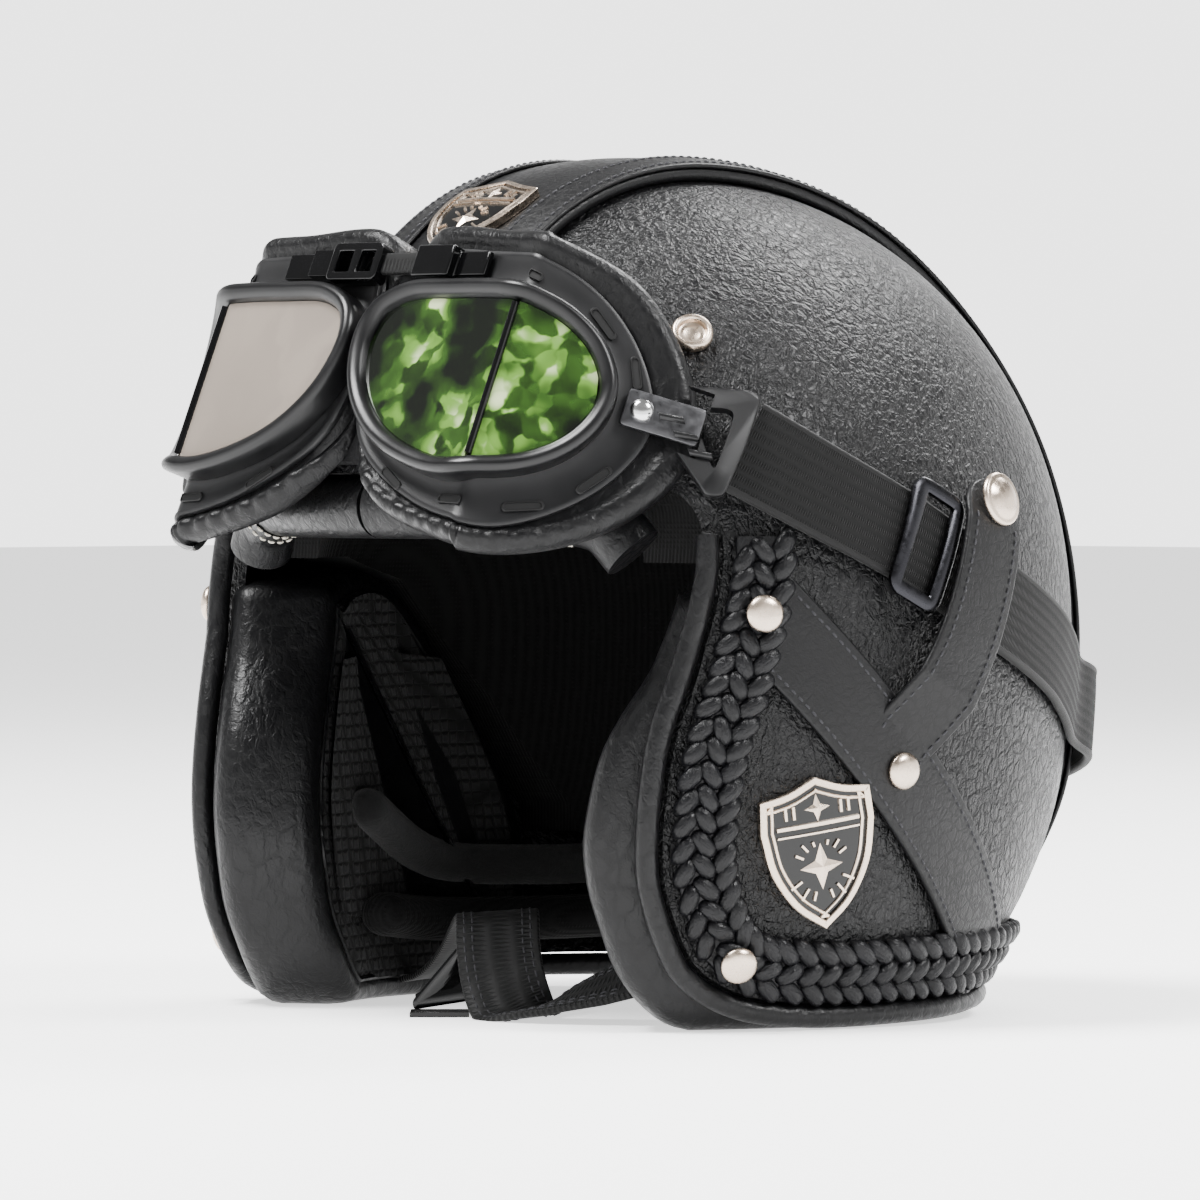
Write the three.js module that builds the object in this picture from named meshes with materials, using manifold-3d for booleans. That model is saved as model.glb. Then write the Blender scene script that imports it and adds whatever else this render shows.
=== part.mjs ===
// Open-face motorcycle helmet covered in leather, with goggles strapped round it.
// Millimetres, +Z up. The helmet stands on its cheek pads, faces -Y, and its left side is +X.
import * as THREE from 'three';
import { mergeVertices } from 'three/addons/utils/BufferGeometryUtils.js';
import Module from 'manifold-3d';

const wasm = await Module();
wasm.setup();

// Shell, measured over its leather from the point of the floor under the crown
const halfWidth = 124;
const frontReach = 112;
const backReach = 134;
const crownHeight = 242;
const widestHeight = 108;
const domeFullness = 2.12;
const shellWall = 6;
const linerWall = 20;
const clearance = 0.3;

// Face opening and rim
const browHeight = 155;
const templeReach = 63;
const templeHeight = 134;
const cheekReach = 79;
const cheekHeight = 54;
const cheekFootReach = 40;
const sideRimHeight = 8;
const backRimHeight = 13;

// Leather and cord on the shell
const bandThickness = 3;
const bandHalfWidth = 30;
const trimWidth = 12;
const trimThickness = 1.2;
const braidWidth = 17;
const braidThickness = 6;
const pipingDiameter = 6.5;
const sideBandWidth = 25;
const sideBandThickness = 2.2;
const rivetDiameter = 10.5;
const rivetHeight = 3.4;
const keeperWidth = 22;
const keeperThickness = 2.2;
const keeperSnapDiameter = 15.5;
const visorSnapDiameter = 12;

// Pads
const cheekPadThickness = 34;
const cheekPadTop = 128;
const cheekPadBack = 52;
const templeRollDiameter = 18;
const neckRollDiameter = 12;
const rimRollDiameter = 13;

// Goggles: a medial pane that faces forward and a lateral pane turned back from it
const goggleHeight = 183;
const goggleReach = 116;
const gogglePitch = THREE.MathUtils.degToRad(24);
const paneTurn = THREE.MathUtils.degToRad(45);
const foldReach = 60.5;
const foldRadius = 14;
const rimHalfWidth = 47.5;
const rimHalfHeight = 29.5;
const rimCentre = 48.5;
const rimFace = 5.5;
const rimDepth = 8;
const lensRecess = 3.6;
const lensThickness = 1.8;
const barWidth = 1.8;
const plateHalfWidth = 53;
const plateHalfHeight = 41;
const plateCentre = 55;
const plateThickness = 2;
const padHalfWidth = 59;
const padHalfHeight = 48;
const padCentre = 60.5;
const padDepthLimit = 15;
const noseGap = 0.8;

// Goggle strap and its hardware
const strapWidth = 26;
const strapThickness = 2.4;
const sliderLength = 17;
const sliderWidth = 35;
const sliderBar = 4.2;
const sliderThickness = 2.4;
const anchorThickness = 3.2;
const tabThickness = 1.6;
const tabWidth = 11;
const tabRivetDiameter = 6.6;
const bridgeHeight = 6.5;
const bridgeThickness = 2;

// Badges
const sideBadgeWidth = 35;
const sideBadgeHeight = 43;
const frontBadgeWidth = 30;
const frontBadgeHeight = 34;
const badgeThickness = 2.6;

// Chin strap
const chinStrapWidth = 24;
const chinStrapThickness = 2;

// Horizontal sections of the shell under its widest level, as shares of the named sizes
const lowerSections = [
  { height: 0.00, width: 0.880, back: 0.600, front: 1.020 },
  { height: 0.16, width: 0.911, back: 0.690, front: 1.060 },
  { height: 0.26, width: 0.935, back: 0.790, front: 1.090 },
  { height: 0.37, width: 0.953, back: 0.868, front: 1.100 },
  { height: 0.53, width: 0.975, back: 0.945, front: 1.100 },
  { height: 0.80, width: 0.995, back: 0.990, front: 1.050 },
  { height: 1.00, width: 1.000, back: 1.000, front: 1.000 },
];

const colours = {
  shell: [0x1b1b1d, 0.55, 0],
  smooth: [0x202022, 0.45, 0],
  braid: [0x161617, 0.5, 0],
  pad: [0x19191b, 0.5, 0],
  fabric: [0x111113, 0.95, 0],
  elastic: [0x0e0e10, 0.95, 0],
  nylon: [0x121214, 0.7, 0],
  plastic: [0x1c1d1f, 0.45, 0],
  plate: [0x2c2d30, 0.4, 0.1],
  lens: [0x4a5a3c, 0.08, 0.4],
  steel: [0xb9b7b2, 0.3, 1],
  nickel: [0xb8aa98, 0.35, 1],
  gunmetal: [0x3a3b3e, 0.35, 1],
};

const helmet = new THREE.Group();

function addPiece(name, geometry, colour) {
  const [hex, roughness, metalness] = colours[colour];
  const material = new THREE.MeshStandardMaterial({ color: hex, roughness, metalness });
  const mesh = new THREE.Mesh(geometry, material);
  mesh.name = name;
  helmet.add(mesh);
}

function addPair(name, build, colour) {
  const left = build();
  addPiece(`${name}_left`, left, colour);
  addPiece(`${name}_right`, mirrored(left), colour);
}

// Turns a list of points and faces into a geometry whose faces point outwards
function solidFrom(points, faces) {
  const geometry = new THREE.BufferGeometry();
  const flat = points.flatMap((p) => [p.x, p.y, p.z]);
  geometry.setAttribute('position', new THREE.Float32BufferAttribute(flat, 3));
  let volume = 0;
  for (const [a, b, c] of faces) {
    volume += points[a].dot(new THREE.Vector3().crossVectors(points[b], points[c]));
  }
  const turned = volume < 0 ? faces.map(([a, b, c]) => [a, c, b]) : faces;
  geometry.setIndex(turned.flat());
  return geometry;
}

function mirrored(geometry) {
  const copy = geometry.clone();
  copy.scale(-1, 1, 1);
  const index = Array.from(copy.index.array);
  for (let i = 0; i < index.length; i += 3) {
    [index[i + 1], index[i + 2]] = [index[i + 2], index[i + 1]];
  }
  copy.setIndex(index);
  return copy;
}

// Joins rings of equal length into a closed body; a loop of rings has no end caps
function loft(rings, looped = false) {
  const count = rings[0].length;
  const points = rings.flat();
  const faces = [];
  const spans = looped ? rings.length : rings.length - 1;
  for (let i = 0; i < spans; i += 1) {
    const next = (i + 1) % rings.length;
    for (let j = 0; j < count; j += 1) {
      const k = (j + 1) % count;
      const a = i * count + j;
      const b = i * count + k;
      const c = next * count + k;
      const d = next * count + j;
      faces.push([a, b, c], [a, c, d]);
    }
  }
  if (!looped) {
    const last = (rings.length - 1) * count;
    for (let j = 1; j < count - 1; j += 1) {
      faces.push([0, j + 1, j], [last, last + j, last + j + 1]);
    }
  }
  return solidFrom(points, faces);
}

function toManifold(geometry) {
  const bare = geometry.clone();
  bare.deleteAttribute('normal');
  bare.deleteAttribute('uv');
  const merged = mergeVertices(bare, 1e-4);
  return new wasm.Manifold(new wasm.Mesh({
    numProp: 3,
    vertProperties: new Float32Array(merged.attributes.position.array),
    triVerts: new Uint32Array(merged.index.array),
  }));
}

function fromManifold(solid) {
  const mesh = solid.getMesh();
  const geometry = new THREE.BufferGeometry();
  geometry.setAttribute('position', new THREE.BufferAttribute(mesh.vertProperties, 3));
  geometry.setIndex(Array.from(mesh.triVerts));
  return geometry;
}

// Cuts tools out of a piece and keeps its largest body
function cut(geometry, ...tools) {
  let solid = toManifold(geometry);
  for (const tool of tools) solid = solid.subtract(toManifold(tool));
  const bodies = solid.decompose().sort((a, b) => b.volume() - a.volume());
  return fromManifold(bodies[0]);
}

function joined(first, second) {
  return fromManifold(toManifold(first).add(toManifold(second)));
}

// Trims a left-hand piece at the middle of the helmet, where its twin begins
function keepLeft(geometry) {
  const places = geometry.attributes.position;
  for (let i = 0; i < places.count; i += 1) places.setX(i, Math.max(places.getX(i), clearance));
  return geometry;
}

// Value of a column of a table, read between its rows
function readTable(rows, key, column, at) {
  const last = rows.length - 1;
  if (at <= rows[0][key]) return rows[0][column];
  if (at >= rows[last][key]) return rows[last][column];
  const i = rows.findIndex((row) => row[key] > at);
  const low = rows[i - 1];
  const share = (at - low[key]) / (rows[i][key] - low[key]);
  return THREE.MathUtils.lerp(low[column], rows[i][column], share);
}

// How far a point lies out from the core: 1 on the shell's face, or on one set in from it
function shellLevel(p, inset = 0) {
  if (p.z >= widestHeight) {
    const reach = (p.y < 0 ? frontReach : backReach) - inset;
    const plan = Math.hypot(p.x / (halfWidth - inset), p.y / reach);
    const rise = (p.z - widestHeight) / (crownHeight - widestHeight - inset);
    return plan ** domeFullness + rise ** domeFullness;
  }
  const at = p.z / widestHeight;
  const width = halfWidth * readTable(lowerSections, 'height', 'width', at) - inset;
  const front = frontReach * readTable(lowerSections, 'height', 'front', at) - inset;
  const back = backReach * readTable(lowerSections, 'height', 'back', at) - inset;
  return Math.hypot(p.x / width, p.y / (p.y < 0 ? front : back)) ** domeFullness;
}

// First point of the shell's face met from a point inside it, along a direction
function castOut(origin, direction, inset = 0) {
  const way = direction.clone().normalize();
  let near = 0;
  let far = 3 * backReach;
  for (let i = 0; i < 40; i += 1) {
    const middle = (near + far) / 2;
    const p = origin.clone().addScaledVector(way, middle);
    if (shellLevel(p, inset) > 1) far = middle;
    else near = middle;
  }
  return origin.clone().addScaledVector(way, near);
}

function outwardAt(p) {
  const step = 0.5;
  const slope = (axis) => {
    const ahead = p.clone();
    const behind = p.clone();
    ahead[axis] += step;
    behind[axis] -= step;
    return (shellLevel(ahead) - shellLevel(behind)) / (2 * step);
  };
  return new THREE.Vector3(slope('x'), slope('y'), slope('z'));
}

// Moves a point onto the shell's face by the shortest way
function settle(point) {
  const p = point.clone();
  for (let i = 0; i < 8; i += 1) {
    const slope = outwardAt(p);
    p.addScaledVector(slope, (1 - shellLevel(p)) / slope.lengthSq());
  }
  return p;
}

function lifted(p, lift) {
  return p.clone().addScaledVector(outwardAt(p).normalize(), lift);
}

// Point of the left face at a place in the side view
function sidePoint(y, z, inset = 0) {
  return castOut(new THREE.Vector3(0, y, z), new THREE.Vector3(1, 0, 0), inset);
}

// Point of the face at a turn from the front, in degrees, and a height
function ringPoint(turn, z, inset = 0) {
  const angle = THREE.MathUtils.degToRad(turn);
  const way = new THREE.Vector3(Math.sin(angle), -Math.cos(angle), 0);
  return castOut(new THREE.Vector3(0, 0, z), way, inset);
}

// Even points on a smooth curve through a few places
function smoothRoute(places, count, closed = false) {
  const curve = new THREE.CatmullRomCurve3(places, closed, 'centripetal');
  return curve.getSpacedPoints(count);
}

// Frames along a route that lies on the shell: along it, across it and out of the face
function shellFrames(route) {
  const settled = route.map(settle);
  return settled.map((p, i) => {
    const ahead = settled[Math.min(i + 1, settled.length - 1)];
    const behind = settled[Math.max(i - 1, 0)];
    const along = ahead.clone().sub(behind).normalize();
    const out = outwardAt(p).normalize();
    const across = new THREE.Vector3().crossVectors(along, out).normalize();
    return { p, along, out, across, share: i / (settled.length - 1) };
  });
}

// A strip laid on the shell; the profile lists its corners as a place across and a lift
function stripOnShell(route, profile) {
  const rings = shellFrames(route).map((frame) => profile(frame.share).map(([side, lift]) => {
    const foot = settle(frame.p.clone().addScaledVector(frame.across, side));
    return lifted(foot, lift);
  }));
  return loft(rings);
}

// Corners of a flat strip with rows across it, wide enough to bend round the shell
function flatProfile(width, low, high, cells = 2) {
  const corners = [];
  for (let i = 0; i <= cells; i += 1) corners.push([width * (i / cells - 0.5), high]);
  for (let i = cells; i >= 0; i -= 1) corners.push([width * (i / cells - 0.5), low]);
  return corners;
}

// Corners of a round or flattened cord that touches the face at its lowest corner
function roundProfile(width, height, low, sides = 8) {
  const corners = [];
  for (let i = 0; i < sides; i += 1) {
    const angle = (2 * Math.PI * (i + 0.5)) / sides;
    corners.push([width / 2 * Math.cos(angle), low + height / 2 * (1 + Math.sin(angle))]);
  }
  return corners;
}

// Edge of the shell in the side view, from the brow over the cheek to the back rim
const edgePlaces = [
  { y: -templeReach - 24, z: browHeight },
  { y: -templeReach - 8, z: browHeight - 2 },
  { y: -templeReach - 1, z: browHeight - 9 },
  { y: -templeReach, z: templeHeight },
  { y: -cheekReach + 10, z: (templeHeight + cheekHeight) / 2 + 10 },
  { y: -cheekReach + 2.5, z: cheekHeight + 25 },
  { y: -cheekReach, z: cheekHeight },
  { y: -cheekReach + 2.5, z: cheekHeight - 17 },
  { y: -(cheekReach + cheekFootReach) / 2 - 8, z: sideRimHeight + 11 },
  { y: -(cheekReach + cheekFootReach) / 2 + 4, z: sideRimHeight + 3 },
  { y: -cheekFootReach, z: sideRimHeight },
  { y: 0, z: sideRimHeight },
  { y: cheekPadBack, z: (sideRimHeight + backRimHeight) / 2 },
];

// Points of that edge, moved across it: a positive offset is on the shell
function edgeRoute(offset, count = 48) {
  const places = edgePlaces.map((place) => new THREE.Vector3(0, place.y, place.z));
  const flat = smoothRoute(places, count);
  return flat.map((p, i) => {
    const ahead = flat[Math.min(i + 1, flat.length - 1)];
    const behind = flat[Math.max(i - 1, 0)];
    const along = ahead.clone().sub(behind).normalize();
    return new THREE.Vector3(0, p.y - along.z * offset, p.z + along.y * offset);
  });
}

// Prism across the whole width in front of and under that edge, which is cut away
function openingTool(offset) {
  const shape = new THREE.Shape();
  const far = 2 * frontReach;
  const route = edgeRoute(offset);
  shape.moveTo(-far, route[0].z);
  for (const p of route) shape.lineTo(p.y, p.z);
  shape.lineTo(backReach, backRimHeight + offset);
  shape.lineTo(far, backRimHeight + offset);
  shape.lineTo(far, -far);
  shape.lineTo(-far, -far);
  const geometry = new THREE.ExtrudeGeometry(shape, { depth: 2 * far, bevelEnabled: false });
  geometry.rotateX(Math.PI / 2);
  geometry.rotateZ(Math.PI / 2);
  geometry.translate(-far, 0, 0);
  return geometry;
}

// Facets of the dome: round it, and from its widest level to its top
const domeTurns = 36;
const domeRises = 6;

// One skin of the dome as rings of points from the foot to just under the top
function skinRings(inset, foot, turns, rises) {
  const rings = [];
  const ring = (place) => Array.from({ length: turns }, (_, j) => place((360 * j) / turns));
  const heights = lowerSections.map((row) => row.height * widestHeight);
  for (const z of heights) {
    if (z > foot && z < widestHeight) rings.push(ring((turn) => ringPoint(turn, z, inset)));
  }
  rings.unshift(ring((turn) => ringPoint(turn, foot, inset)));
  for (let i = 0; i < rises; i += 1) {
    const climb = (Math.PI / 2) * (i / rises);
    rings.push(ring((turn) => {
      const angle = THREE.MathUtils.degToRad(turn);
      const way = new THREE.Vector3(Math.sin(angle), -Math.cos(angle), 0);
      way.multiplyScalar(Math.cos(climb));
      way.z = Math.sin(climb);
      return castOut(new THREE.Vector3(0, 0, widestHeight), way, inset);
    }));
  }
  return rings;
}

// Solid dome inside one skin
function skinSolid(inset) {
  const rings = skinRings(inset, 0, domeTurns, domeRises);
  const top = new THREE.Vector3(0, 0, crownHeight - inset);
  return loft([...rings, rings[0].map(() => top.clone())]);
}

// Closed cap between two skins, open at its foot
function capBetween(outer, inner, foot, turns, rises) {
  const outside = skinRings(outer, foot, turns, rises);
  const inside = skinRings(inner, foot, turns, rises);
  const points = [...outside.flat(), ...inside.flat()];
  const faces = [];
  const start = outside.length * turns;
  const quad = (a, b, c, d) => faces.push([a, b, c], [a, c, d]);
  for (let i = 0; i < outside.length - 1; i += 1) {
    for (let j = 0; j < turns; j += 1) {
      const k = (j + 1) % turns;
      quad(i * turns + j, i * turns + k, (i + 1) * turns + k, (i + 1) * turns + j);
      quad(start + (i + 1) * turns + j, start + (i + 1) * turns + k, start + i * turns + k,
        start + i * turns + j);
    }
  }
  const topOut = points.length;
  points.push(new THREE.Vector3(0, 0, crownHeight - outer));
  points.push(new THREE.Vector3(0, 0, crownHeight - inner));
  const rim = (outside.length - 1) * turns;
  for (let j = 0; j < turns; j += 1) {
    const k = (j + 1) % turns;
    faces.push([rim + j, rim + k, topOut], [start + rim + k, start + rim + j, topOut + 1]);
    quad(start + j, start + k, k, j);
  }
  return solidFrom(points, faces);
}

function makeShell() {
  const cap = capBetween(0, shellWall, 0, domeTurns, domeRises);
  return cut(cap, openingTool(0));
}

function makeLiner() {
  const outer = shellWall + 2 * clearance;
  const cap = capBetween(outer, outer + linerWall, neckLine, domeTurns, domeRises);
  return cut(cap, openingTool(3), cheekRoomTool());
}

// Height of the lower edge of the lining behind the cheek pads
const neckLine = 47;

// Prism that clears the lining away where the cheek pads sit
function cheekRoomTool() {
  const far = 2 * frontReach;
  const shape = new THREE.Shape();
  shape.moveTo(-far, cheekPadTop + 2);
  shape.lineTo(-templeReach * 0.4, cheekPadTop + 2);
  shape.lineTo(2, cheekPadTop - 5);
  shape.lineTo(cheekPadBack * 0.6 + 3, cheekPadTop * 0.6 + 11);
  shape.lineTo(cheekPadBack + 3, cheekPadTop * 0.4 + 4);
  shape.lineTo(cheekPadBack + 3, -10);
  shape.lineTo(-far, -10);
  const geometry = new THREE.ExtrudeGeometry(shape, { depth: 2 * far, bevelEnabled: false });
  geometry.rotateX(Math.PI / 2);
  geometry.rotateZ(Math.PI / 2);
  geometry.translate(-far, 0, 0);
  return geometry;
}

// The crown band: its half width along the way from the brow over the crown to the back rim
const crownSections = [
  { share: 0.00, width: 1.00 },
  { share: 0.22, width: 1.00 },
  { share: 0.38, width: 1.25 },
  { share: 0.50, width: 1.50 },
  { share: 0.62, width: 2.05 },
  { share: 0.74, width: 2.35 },
  { share: 0.86, width: 2.30 },
  { share: 1.00, width: 1.90 },
];

// Point of the face at a place on the middle line of the crown and a distance to its side
function crownPoint(share, x) {
  const frontFoot = Math.asin((browHeight + 4 - widestHeight) / (crownHeight - widestHeight));
  const domeShare = 0.72;
  if (share < domeShare) {
    const climb = THREE.MathUtils.lerp(frontFoot, Math.PI, share / domeShare);
    const way = new THREE.Vector3(0, -Math.cos(climb), Math.sin(climb));
    return castOut(new THREE.Vector3(x, 0, widestHeight), way);
  }
  const drop = (share - domeShare) / (1 - domeShare);
  const z = THREE.MathUtils.lerp(widestHeight, backRimHeight + braidWidth + 1, drop);
  return castOut(new THREE.Vector3(x, 0, z), new THREE.Vector3(0, 1, 0));
}

function crownStrip(from, to, low, high, cells, steps, start = 0.01) {
  const rings = [];
  for (let i = 0; i <= steps; i += 1) {
    const share = THREE.MathUtils.lerp(start, 1, i / steps);
    const half = bandHalfWidth * readTable(crownSections, 'share', 'width', share);
    const place = (j, lift) => {
      const x = half - THREE.MathUtils.lerp(from(half), to(half), j / cells);
      return lifted(crownPoint(share, x), lift);
    };
    const top = Array.from({ length: cells + 1 }, (_, j) => place(j, high));
    const base = Array.from({ length: cells + 1 }, (_, j) => place(cells - j, low));
    rings.push([...top, ...base]);
  }
  return loft(rings);
}

// Lift of the crown band's underside, which clears the shell between its corners
const bandLift = 3 * clearance;

function makeCrownBand() {
  const band = crownStrip(() => 0, (half) => 2 * half, -shellWall / 2, bandLift + bandThickness, 6, 24);
  return cut(band, skinSolid(-clearance));
}

// Room over the crown that the band and its trim take, with a gap round them
function crownRoom() {
  const over = bandLift + bandThickness + trimThickness + 4 * clearance;
  return crownStrip(() => -2, (half) => 2 * half + 2, -shellWall / 2, over, 6, 24, 0);
}

function makeCrownTrim() {
  const low = bandLift + bandThickness + 2 * clearance;
  return crownStrip(() => 0.5, () => trimWidth + 0.5, low, low + trimThickness, 1, 24);
}

// Share of the edge's length at which braid and piping begin, under the goggle's anchor
const edgeStart = 0.12;

// Route along the shell's edge on the left face, then round the back rim to its middle
function rimRoute(offset, startShare) {
  const edge = edgeRoute(offset);
  const start = Math.round(edge.length * startShare);
  const side = edge.slice(start).map((p) => sidePoint(p.y, p.z));
  const last = side[side.length - 1];
  const lastTurn = THREE.MathUtils.radToDeg(Math.atan2(last.x, -last.y));
  const steps = 7;
  const back = Array.from({ length: steps }, (_, i) => {
    const share = (i + 1) / steps;
    const turn = THREE.MathUtils.lerp(lastTurn, 180, share);
    return ringPoint(turn, THREE.MathUtils.lerp(last.z, backRimHeight + offset, share));
  });
  return [...side, ...back];
}

function braidRoute() {
  return smoothRoute(rimRoute(braidWidth / 2 + 0.5, edgeStart), 40);
}

function makeBraid() {
  const low = 2 * clearance;
  const half = braidWidth / 2;
  return keepLeft(stripOnShell(braidRoute(), () => [[-half, low], [half, low],
    [half, low + braidThickness * 0.5], [half * 0.45, low + braidThickness],
    [-half * 0.45, low + braidThickness], [-half, low + braidThickness * 0.5]]));
}

// Cord against the cut edge of the shell, half in front of it
function makePiping() {
  const route = smoothRoute(rimRoute(-pipingDiameter / 2 - clearance, edgeStart), 36);
  const radius = pipingDiameter / 2;
  return keepLeft(stripOnShell(route, () => roundProfile(2 * radius, 2 * radius, -radius * 0.6, 5)));
}

// A thick pad against the left face: a stack of outlines, each at a depth and grown or shrunk
function padStack(outline, layers) {
  const centre = outline.reduce((sum, p) => sum.add(p), new THREE.Vector2());
  centre.divideScalar(outline.length);
  const ring = ({ depth, grow, share = 1 }) => outline.map((p) => {
    const way = p.clone().sub(centre);
    const length = way.length() + grow;
    way.setLength(length * share).add(centre);
    const z = Math.max(way.y, 0);
    const held = Math.max(z, 1);
    const foot = sidePoint(way.x, held);
    foot.z = z;
    const out = outwardAt(sidePoint(way.x, held)).normalize();
    out.z = 0;
    return foot.addScaledVector(out.normalize(), -depth);
  });
  const first = layers[0];
  const last = layers[layers.length - 1];
  const shares = [0.35, 0.7];
  const front = shares.map((share) => ring({ ...first, share }));
  const rear = shares.map((share) => ring({ ...last, share })).reverse();
  return loft([...front, ...layers.map(ring), ...rear]);
}

// Outline of the cheek pad in the side view, which grows past the shell's edge
function cheekOutline(grow) {
  const along = edgeRoute(-grow, 26).filter((p) => p.z < cheekPadTop - 2);
  const points = along.map((p) => new THREE.Vector2(p.y, Math.max(p.z, 0)));
  points.push(new THREE.Vector2(cheekPadBack - 4, sideRimHeight + 6));
  points.push(new THREE.Vector2(cheekPadBack, cheekPadTop * 0.4));
  points.push(new THREE.Vector2(cheekPadBack * 0.6, cheekPadTop * 0.6 + 8));
  points.push(new THREE.Vector2(0, cheekPadTop - 8));
  points.push(new THREE.Vector2(-templeReach * 0.5, cheekPadTop));
  return points;
}

// How far the leather roll of the cheek stands past the shell's edge, by height
const cheekRoll = [
  { height: 0.00, reach: 8 + pipingDiameter },
  { height: 0.30, reach: 9 + pipingDiameter },
  { height: 0.50, reach: 10 + pipingDiameter },
  { height: 0.70, reach: 8 + pipingDiameter },
  { height: 0.92, reach: 3 + pipingDiameter },
  { height: 1.15, reach: 1 + pipingDiameter },
];

function rolledOutline() {
  const near = cheekOutline(0);
  const far = cheekOutline(1);
  return near.map((p, i) => {
    const reach = readTable(cheekRoll, 'height', 'reach', p.y / widestHeight);
    const q = p.clone().addScaledVector(far[i].clone().sub(p), reach);
    q.y = Math.max(q.y, 0);
    return q;
  });
}

function makeCheekPad() {
  const outline = rolledOutline();
  const deep = cheekPadThickness;
  const pad = padStack(outline, [
    { depth: 2.5, grow: -5 },
    { depth: 7, grow: 0 },
    { depth: deep - 9, grow: 0 },
    { depth: deep - 2, grow: -4 },
    { depth: deep, grow: -10 },
  ]);
  const wall = capBetween(-2 * linerWall, shellWall + clearance, 0, domeTurns, domeRises);
  return cut(pad, cut(wall, openingTool(-pipingDiameter - 2 * clearance)));
}

// Round bar along a smooth route through a few places
function tube(places, radius, sides, steps) {
  const angles = Array.from({ length: sides }, (_, i) => (2 * Math.PI * i) / sides);
  const section = new THREE.Shape(angles.map((a) => new THREE.Vector2(Math.cos(a), Math.sin(a)).multiplyScalar(radius)));
  const path = new THREE.CatmullRomCurve3(places, false, 'centripetal');
  return mergeVertices(bare(new THREE.ExtrudeGeometry(section, { steps, extrudePath: path })), 1e-4);
}

function bare(geometry) {
  geometry.deleteAttribute('normal');
  geometry.deleteAttribute('uv');
  return geometry;
}

// Bend of the brow roll at the temple: share of the cheek's reach, and drop from the roll's height
const rollBend = [
  { reach: -1.06, drop: 0.5 },
  { reach: -0.98, drop: 4.5 },
  { reach: -0.935, drop: 12.5 },
];

function makeTempleRoll() {
  const radius = templeRollDiameter / 2;
  const inset = radius + 1;
  const z = browHeight - radius - 0.5;
  const front = [0, 12, 24, 36].map((turn) => ringPoint(turn, z, inset));
  const side = rollBend.map(({ reach, drop }) => sidePoint(reach * cheekReach, z - drop, inset));
  return keepLeft(tube([...front, ...side], radius, 8, 16));
}

// Neck rolls: turn from the front in degrees, height and depth from the shell's face
const neckPlaces = [
  { turn: 52, rise: 22, depth: 43 },
  { turn: 86, rise: 3, depth: 43 },
  { turn: 114, rise: 0, depth: 42 },
  { turn: 138, rise: 0, depth: 18 },
  { turn: 160, rise: 0, depth: 18 },
];

function makeNeckRoll(height, radius, riseShare) {
  const side = neckPlaces.map(({ turn, rise, depth }) => ringPoint(turn, height + rise * riseShare, depth));
  const middle = ringPoint(180, height, 18);
  const other = side.map((p) => new THREE.Vector3(-p.x, p.y, p.z)).reverse();
  return tube([...side, middle, ...other], radius, 6, 22);
}

// Middle line of the diagonal band, as shares of the cheek's reach and the widest height
const bandPlaces = [
  { reach: -0.72, height: 1.10 },
  { reach: -0.29, height: 0.74 },
  { reach: 0.09, height: 0.44 },
  { reach: 0.44, height: 0.13 },
];

function sideRoute(places, count) {
  const spots = places.map((p) => sidePoint(p.reach * cheekReach, p.height * widestHeight));
  return smoothRoute(spots, count);
}

// Room that the braid takes on the shell, with a gap round it
function braidRoom() {
  return stripOnShell(braidRoute(), () => flatProfile(braidWidth + 2, -3, 2 * braidThickness, 1));
}

function sideBandStrip(width, low, high, cells) {
  return stripOnShell(sideRoute(bandPlaces, 10), () => flatProfile(width, low, high, cells));
}

function makeSideBand() {
  const band = sideBandStrip(sideBandWidth, 2 * clearance, 2 * clearance + sideBandThickness, 2);
  return cut(band, braidRoom());
}

// A turned piece set on the left face: its profile lists radius and height
function turnedOnShell(foot, lift, profile, sides = 12) {
  const points = profile.map(([radius, height]) => new THREE.Vector2(radius, height));
  const geometry = bare(new THREE.LatheGeometry(points, sides));
  const out = outwardAt(foot).normalize();
  const turn = new THREE.Quaternion().setFromUnitVectors(new THREE.Vector3(0, 1, 0), out);
  geometry.applyQuaternion(turn);
  const place = lifted(foot, lift);
  geometry.translate(place.x, place.y, place.z);
  return mergeVertices(geometry, 1e-4);
}

function domeProfile(radius, height) {
  return [[0, 0], [radius, 0], [radius, height * 0.3], [radius * 0.65, height * 0.85], [0, height]];
}

// Rivets: two on the braid and one on the diagonal band
const rivetPlaces = [
  { reach: -0.71, height: 1.075, lift: braidThickness + 4 * clearance },
  { reach: -0.20, height: 0.67, lift: sideBandThickness + 4 * clearance },
  { reach: -0.745, height: 0.195, lift: braidThickness + 4 * clearance },
];

function makeRivet({ reach, height, lift }) {
  const foot = sidePoint(reach * cheekReach, height * widestHeight);
  return turnedOnShell(foot, lift, domeProfile(rivetDiameter / 2, rivetHeight), 8);
}

// Middle line of the keeper strap, from its round top to the diagonal band
const keeperPlaces = [
  { reach: 0.24, height: 1.40 },
  { reach: 0.21, height: 1.32 },
  { reach: 0.13, height: 1.17 },
  { reach: 0.02, height: 1.00 },
  { reach: -0.11, height: 0.84 },
  { reach: -0.22, height: 0.72 },
];

// How far the keeper stands off the shell along its length, to clear the goggle strap
const keeperRise = [
  { share: 0.00, lift: 0.5 },
  { share: 0.16, lift: 1 },
  { share: 0.72, lift: 1 },
  { share: 0.86, lift: 0 },
];

function keeperLift(share) {
  const over = strapThickness + sliderThickness + 10 * clearance;
  return 2 * clearance + over * readTable(keeperRise, 'share', 'lift', share);
}

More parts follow.
